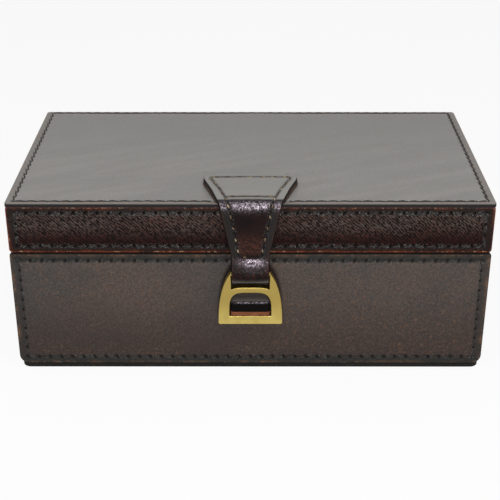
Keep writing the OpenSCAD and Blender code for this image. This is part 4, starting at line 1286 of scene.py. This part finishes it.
def block(name, low, high, break_top, break_low, material):
    """A block standing out from the front: a profile in (y, z) with its front edges rounded, carried along X
    and drawn in at both ends by a quarter round. Its top gets a painted sheen and its upper front edge is
    burnished."""
    low, high = np.array(low), np.array(high)
    turn = np.linspace(0, np.pi / 2, CATCH_ROUND_POINTS)
    top = np.stack([low[1] + break_top * (1 - np.sin(turn)), high[2] - break_top * (1 - np.cos(turn))], -1)
    foot = np.stack([low[1] + break_low * (1 - np.cos(turn)), low[2] + break_low * (1 - np.sin(turn))], -1)
    profile = np.concatenate([[(high[1], high[2])], top, foot, [(high[1], low[2])]])
    half = (high[0] - low[0]) / 2
    ends = half - CATCH_END_RADIUS * (1 - np.sin(np.linspace(0, np.pi / 2, CATCH_END_POINTS)))
    x = np.concatenate([-ends[::-1], np.linspace(-ends[0], ends[0], CATCH_LENGTH_POINTS)[1:-1], ends])
    past_end = np.clip(np.abs(x) - (half - CATCH_END_RADIUS), 0, CATCH_END_RADIUS)
    draw_in = (CATCH_END_RADIUS - np.sqrt(CATCH_END_RADIUS ** 2 - past_end ** 2))[:, None]
    depth = (high[1] - profile[:, 0]) / (high[1] - low[1])
    tall = (profile[:, 1] - low[2]) / (high[2] - low[2])
    y = profile[:, 0] + draw_in * depth
    z = profile[:, 1] - CATCH_END_SLOPE * draw_in * tall
    rings = np.stack([x[:, None] + 0 * y, y, z], -1)
    edge_in = CATCH_POLISH_PLACE * break_top
    from_edge = np.hypot(profile[:, 0] - low[1] - edge_in, profile[:, 1] - high[2] + edge_in)
    top_start = low[1] + CATCH_FADE_PLACE * break_top
    # Painted sheen on the top face.
    on_top = ramp(profile[:, 0], top_start, top_start + CATCH_FADE) * (tall > 0.5)
    polish = CATCH_POLISH * bump_at(from_edge, CATCH_POLISH_WIDTH)
    attributes = {key: np.broadcast_to(values, y.shape) for key, values in (
        ("rim", BEYOND_MARKS), ("row", BEYOND_MARKS), ("tab", on_top), ("polish", polish))}
    obj = tube_piece(name, rings, material, attributes=attributes)
    sharpen(obj, degrees=50)
    return obj


cover_low, cover_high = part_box("catch_cover")
cover_high[2] += CATCH_SWELL
core_low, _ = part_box("catch_core")
catch_cover = block("catch_cover_leather", cover_low, cover_high, COVER_TOP_BREAK, COVER_LOW_BREAK,
                    CATCH_LEATHER)
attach(catch_cover, "case")
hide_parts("catch_cover")
catch_core = block("catch_core_leather", core_low, (cover_high[0], cover_high[1], cover_low[2]), CORE_BREAK,
                   CORE_BREAK, TAN_CUT)
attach(catch_core, "case")
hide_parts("catch_core")


# Soft pieces inside

ROLLS = 6
ROLL_ALONG = 91
ROLL_AROUND = 64
ROLL_SEED = 60
ROLL_GATHER = 0.45
ROLL_GATHER_POWER = 26
ROLL_RIPPLE = 0.1 * MM
ROLL_RIPPLE_LENGTH = 13 * MM
PLEATS = 11
PLEAT_DEPTH = 0.22 * MM
PLEAT_POWER = 14
PAD_ACROSS = 121
PAD_UP = 71
PAD_POWER = 16
PAD_RIPPLE_LENGTH = 30 * MM
PAD_RIPPLE_LEVEL = 2.2
BED_SEED = 70
LID_PAD_SEED = 71


def eased(count):
    """From -1 to 1 by a sine, so that the places draw closer together at both ends."""
    return np.sin(np.linspace(-np.pi / 2, np.pi / 2, count))


def ring_roll(name, node, seed):
    """A stuffed roll along X: a circle drawn in to a gathered end by a power curve, with soft ripples and
    pleats that run in from each end."""
    low, high = (np.array(corner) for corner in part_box(node))
    middle = (low + high) / 2
    radius = (high[2] - low[2]) / 2
    share = eased(ROLL_ALONG)[:, None]
    angle = np.linspace(0, 2 * np.pi, ROLL_AROUND, endpoint=False)[None, :]
    x = middle[0] + share * (high[0] - low[0]) / 2 + 0 * angle
    shrink = 1 - ROLL_GATHER * np.abs(share) ** ROLL_GATHER_POWER
    pleat = np.cos(angle * PLEATS + seed) * np.abs(share) ** PLEAT_POWER
    ripple = waves(x, angle * radius, ROLL_RIPPLE_LENGTH, seed)
    r = radius * shrink - PLEAT_DEPTH * (1 + pleat) - ROLL_RIPPLE * (1 + ripple)
    rings = np.stack([x, middle[1] + r * np.cos(angle), middle[2] + r * np.sin(angle)], -1)
    return tube_piece(name, rings, RING_SUEDE)


def cushion(name, node, facing, crown, ripple, seed, material):
    """A flat pad on its backing: its face rises from the edges by the root of one minus a high power across,
    times the same along, with soft ripples; its sides go straight to the backing."""
    middle, (across, up, out), (wide, high, thick) = node_place(node, facing)
    up_share, across_share = np.meshgrid(eased(PAD_UP), eased(PAD_ACROSS), indexing="ij")
    a, b = across_share * wide / 2, up_share * high / 2
    swell = (1 - across_share ** PAD_POWER) * (1 - up_share ** PAD_POWER)
    soft = ripple * (waves(a, b, PAD_RIPPLE_LENGTH, seed) - PAD_RIPPLE_LEVEL) * swell
    height = thick - crown * (1 - np.sqrt(np.clip(swell, 0, 1))) + soft
    face = middle + a[..., None] * across + b[..., None] * up + height[..., None] * out
    points, faces, _ = closed_sheet(face, height, out, 1)
    obj = add_mesh(name, points, faces, material)
    sharpen(obj, degrees=70)
    return obj


for number in range(1, ROLLS + 1):
    roll = ring_roll(f"ring_roll_{number}_stuffed", f"ring_roll_{number}", ROLL_SEED + number)
    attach(roll, "case")
    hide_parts(f"ring_roll_{number}")
ring_bed = cushion("ring_bed_padding", "ring_bed", "top", 1.5 * MM, 0.1 * MM, BED_SEED, RING_SUEDE)
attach(ring_bed, "case")
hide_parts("ring_bed")
lid_pad = cushion("lid_pad_padding", "lid_pad", "under", 2.2 * MM, 0.09 * MM, LID_PAD_SEED, SUEDE)
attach(lid_pad, "lid")
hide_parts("lid_pad")


# CAD nodes that show as they are

NODE_FINISH = {
    SUEDE: ["floor_lining", "front_lining", "back_lining", "left_lining", "right_lining", "ring_divider",
            "long_divider", "cross_divider", "lid_wall_lining"],
    WOOD: ["case_bottom_board", "case_front_board", "case_back_board", "case_left_board", "case_right_board",
           "lid_top_board", "lid_front_board", "lid_back_board", "lid_left_board", "lid_right_board"],
    BRASS: ["hinge_case_leaves", "hinge_pins", "hinge_case_screws", "hinge_lid_leaves", "hinge_lid_screws"],
    DARK_CUT: ["base_sole"],
}
for finish, names in NODE_FINISH.items():
    for node in names:
        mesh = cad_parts[node].data
        mesh.materials.clear()
        mesh.materials.append(finish)


# Floor, light and camera

FLOOR_HALF = 6.0
FLOOR_GLOW = 0.9
FLOOR_GLOW_STRENGTH = 1.0
FLOOR_COLOUR = (0.8, 0.8, 0.8, 1.0)
FLOOR_ROUGHNESS = 0.9
WORLD_SHOWN = 1.0
WORLD_LIGHT = 0.3
KEY_PLACE = (0.0, -0.36, 0.72)
KEY_SIZE = (0.7, 0.5)
KEY_POWER = 2.9
FRONT_PLACE = (0.06, -1.25, 0.62)
FRONT_SIZE = (0.36, 0.36)
FRONT_POWER = 10.5
LIGHT_AIM = (0.0, 0.0, 0.05)


def seen_share(n):
    """One for a camera, mirror or glass ray and zero for light that lands on a surface."""
    camera, glossy, glass = (n.made("ShaderNodeLightPath", kind) for kind in (
        "Is Camera Ray", "Is Glossy Ray", "Is Transmission Ray"))
    return n.maths("MINIMUM", n.maths("ADD", n.maths("ADD", camera, glossy), glass), 1.0)


def white_floor():
    """A pale floor that glows a little for the camera, so that it is white and keeps a soft shadow."""
    material, n = new_material("white_floor")
    nodes = material.node_tree.nodes
    finished(material, n, {
        "Base Color": FLOOR_COLOUR, "Roughness": FLOOR_ROUGHNESS, "Specular IOR Level": 0.0})
    glow = n.made("ShaderNodeEmission", 0, {"Strength": FLOOR_GLOW_STRENGTH})
    share = n.times(seen_share(n), FLOOR_GLOW)
    blend = n.made("ShaderNodeMixShader", 0, {0: share, 1: nodes["Principled BSDF"].outputs[0], 2: glow})
    n.put(nodes["Material Output"].inputs["Surface"], blend)
    corner = np.array([(-1, -1, 0), (1, -1, 0), (1, 1, 0), (-1, 1, 0)]) * FLOOR_HALF
    return add_mesh("floor", corner, [np.arange(4)[None]], material, smooth=False)


def surround():
    """A white room: full white where it is seen, less where it lights."""
    world = bpy.data.worlds.new("white_room")
    world.use_nodes = True
    n = Nodes(world.node_tree)
    background = world.node_tree.nodes["Background"]
    n.put(background.inputs["Strength"], n.span(seen_share(n), 0.0, 1.0, WORLD_LIGHT, WORLD_SHOWN))
    n.put(background.inputs["Color"], (1, 1, 1, 1))
    bpy.context.scene.world = world


def area_light(name, place, size, power):
    """A rectangular softbox that faces the middle of the case."""
    light = bpy.data.lights.new(name, "AREA")
    light.shape = "RECTANGLE"
    light.size, light.size_y = size
    light.energy = power
    obj = in_scene(name, light)
    obj.location = place
    towards = Vector(LIGHT_AIM) - obj.location
    obj.rotation_euler = towards.to_track_quat("-Z", "Y").to_euler()


def photograph_camera():
    """The fitted camera: forward from pitch and yaw, then a small roll."""
    forward = np.array((math.sin(CAMERA_YAW) * math.cos(CAMERA_PITCH),
                        math.cos(CAMERA_YAW) * math.cos(CAMERA_PITCH), -math.sin(CAMERA_PITCH)))
    right = np.array((math.cos(CAMERA_YAW), -math.sin(CAMERA_YAW), 0.0))
    up = np.cross(right, forward)
    rolled_right = math.cos(CAMERA_ROLL) * right + math.sin(CAMERA_ROLL) * up
    rolled_up = math.cos(CAMERA_ROLL) * up - math.sin(CAMERA_ROLL) * right
    data = bpy.data.cameras.new("camera")
    data.lens = CAMERA_LENS
    data.sensor_width = CAMERA_SENSOR
    data.clip_start = CAMERA_NEAR
    obj = in_scene("camera", data)
    turn = np.eye(4)
    turn[:3, 0], turn[:3, 1], turn[:3, 2], turn[:3, 3] = rolled_right, rolled_up, -forward, CAMERA_PLACE
    obj.matrix_world = Matrix(turn.tolist())
    bpy.context.scene.camera = obj


white_floor()
surround()
area_light("key_softbox", KEY_PLACE, KEY_SIZE, KEY_POWER)
area_light("front_softbox", FRONT_PLACE, FRONT_SIZE, FRONT_POWER)
photograph_camera()
bpy.context.scene.view_settings.view_transform = "Standard"
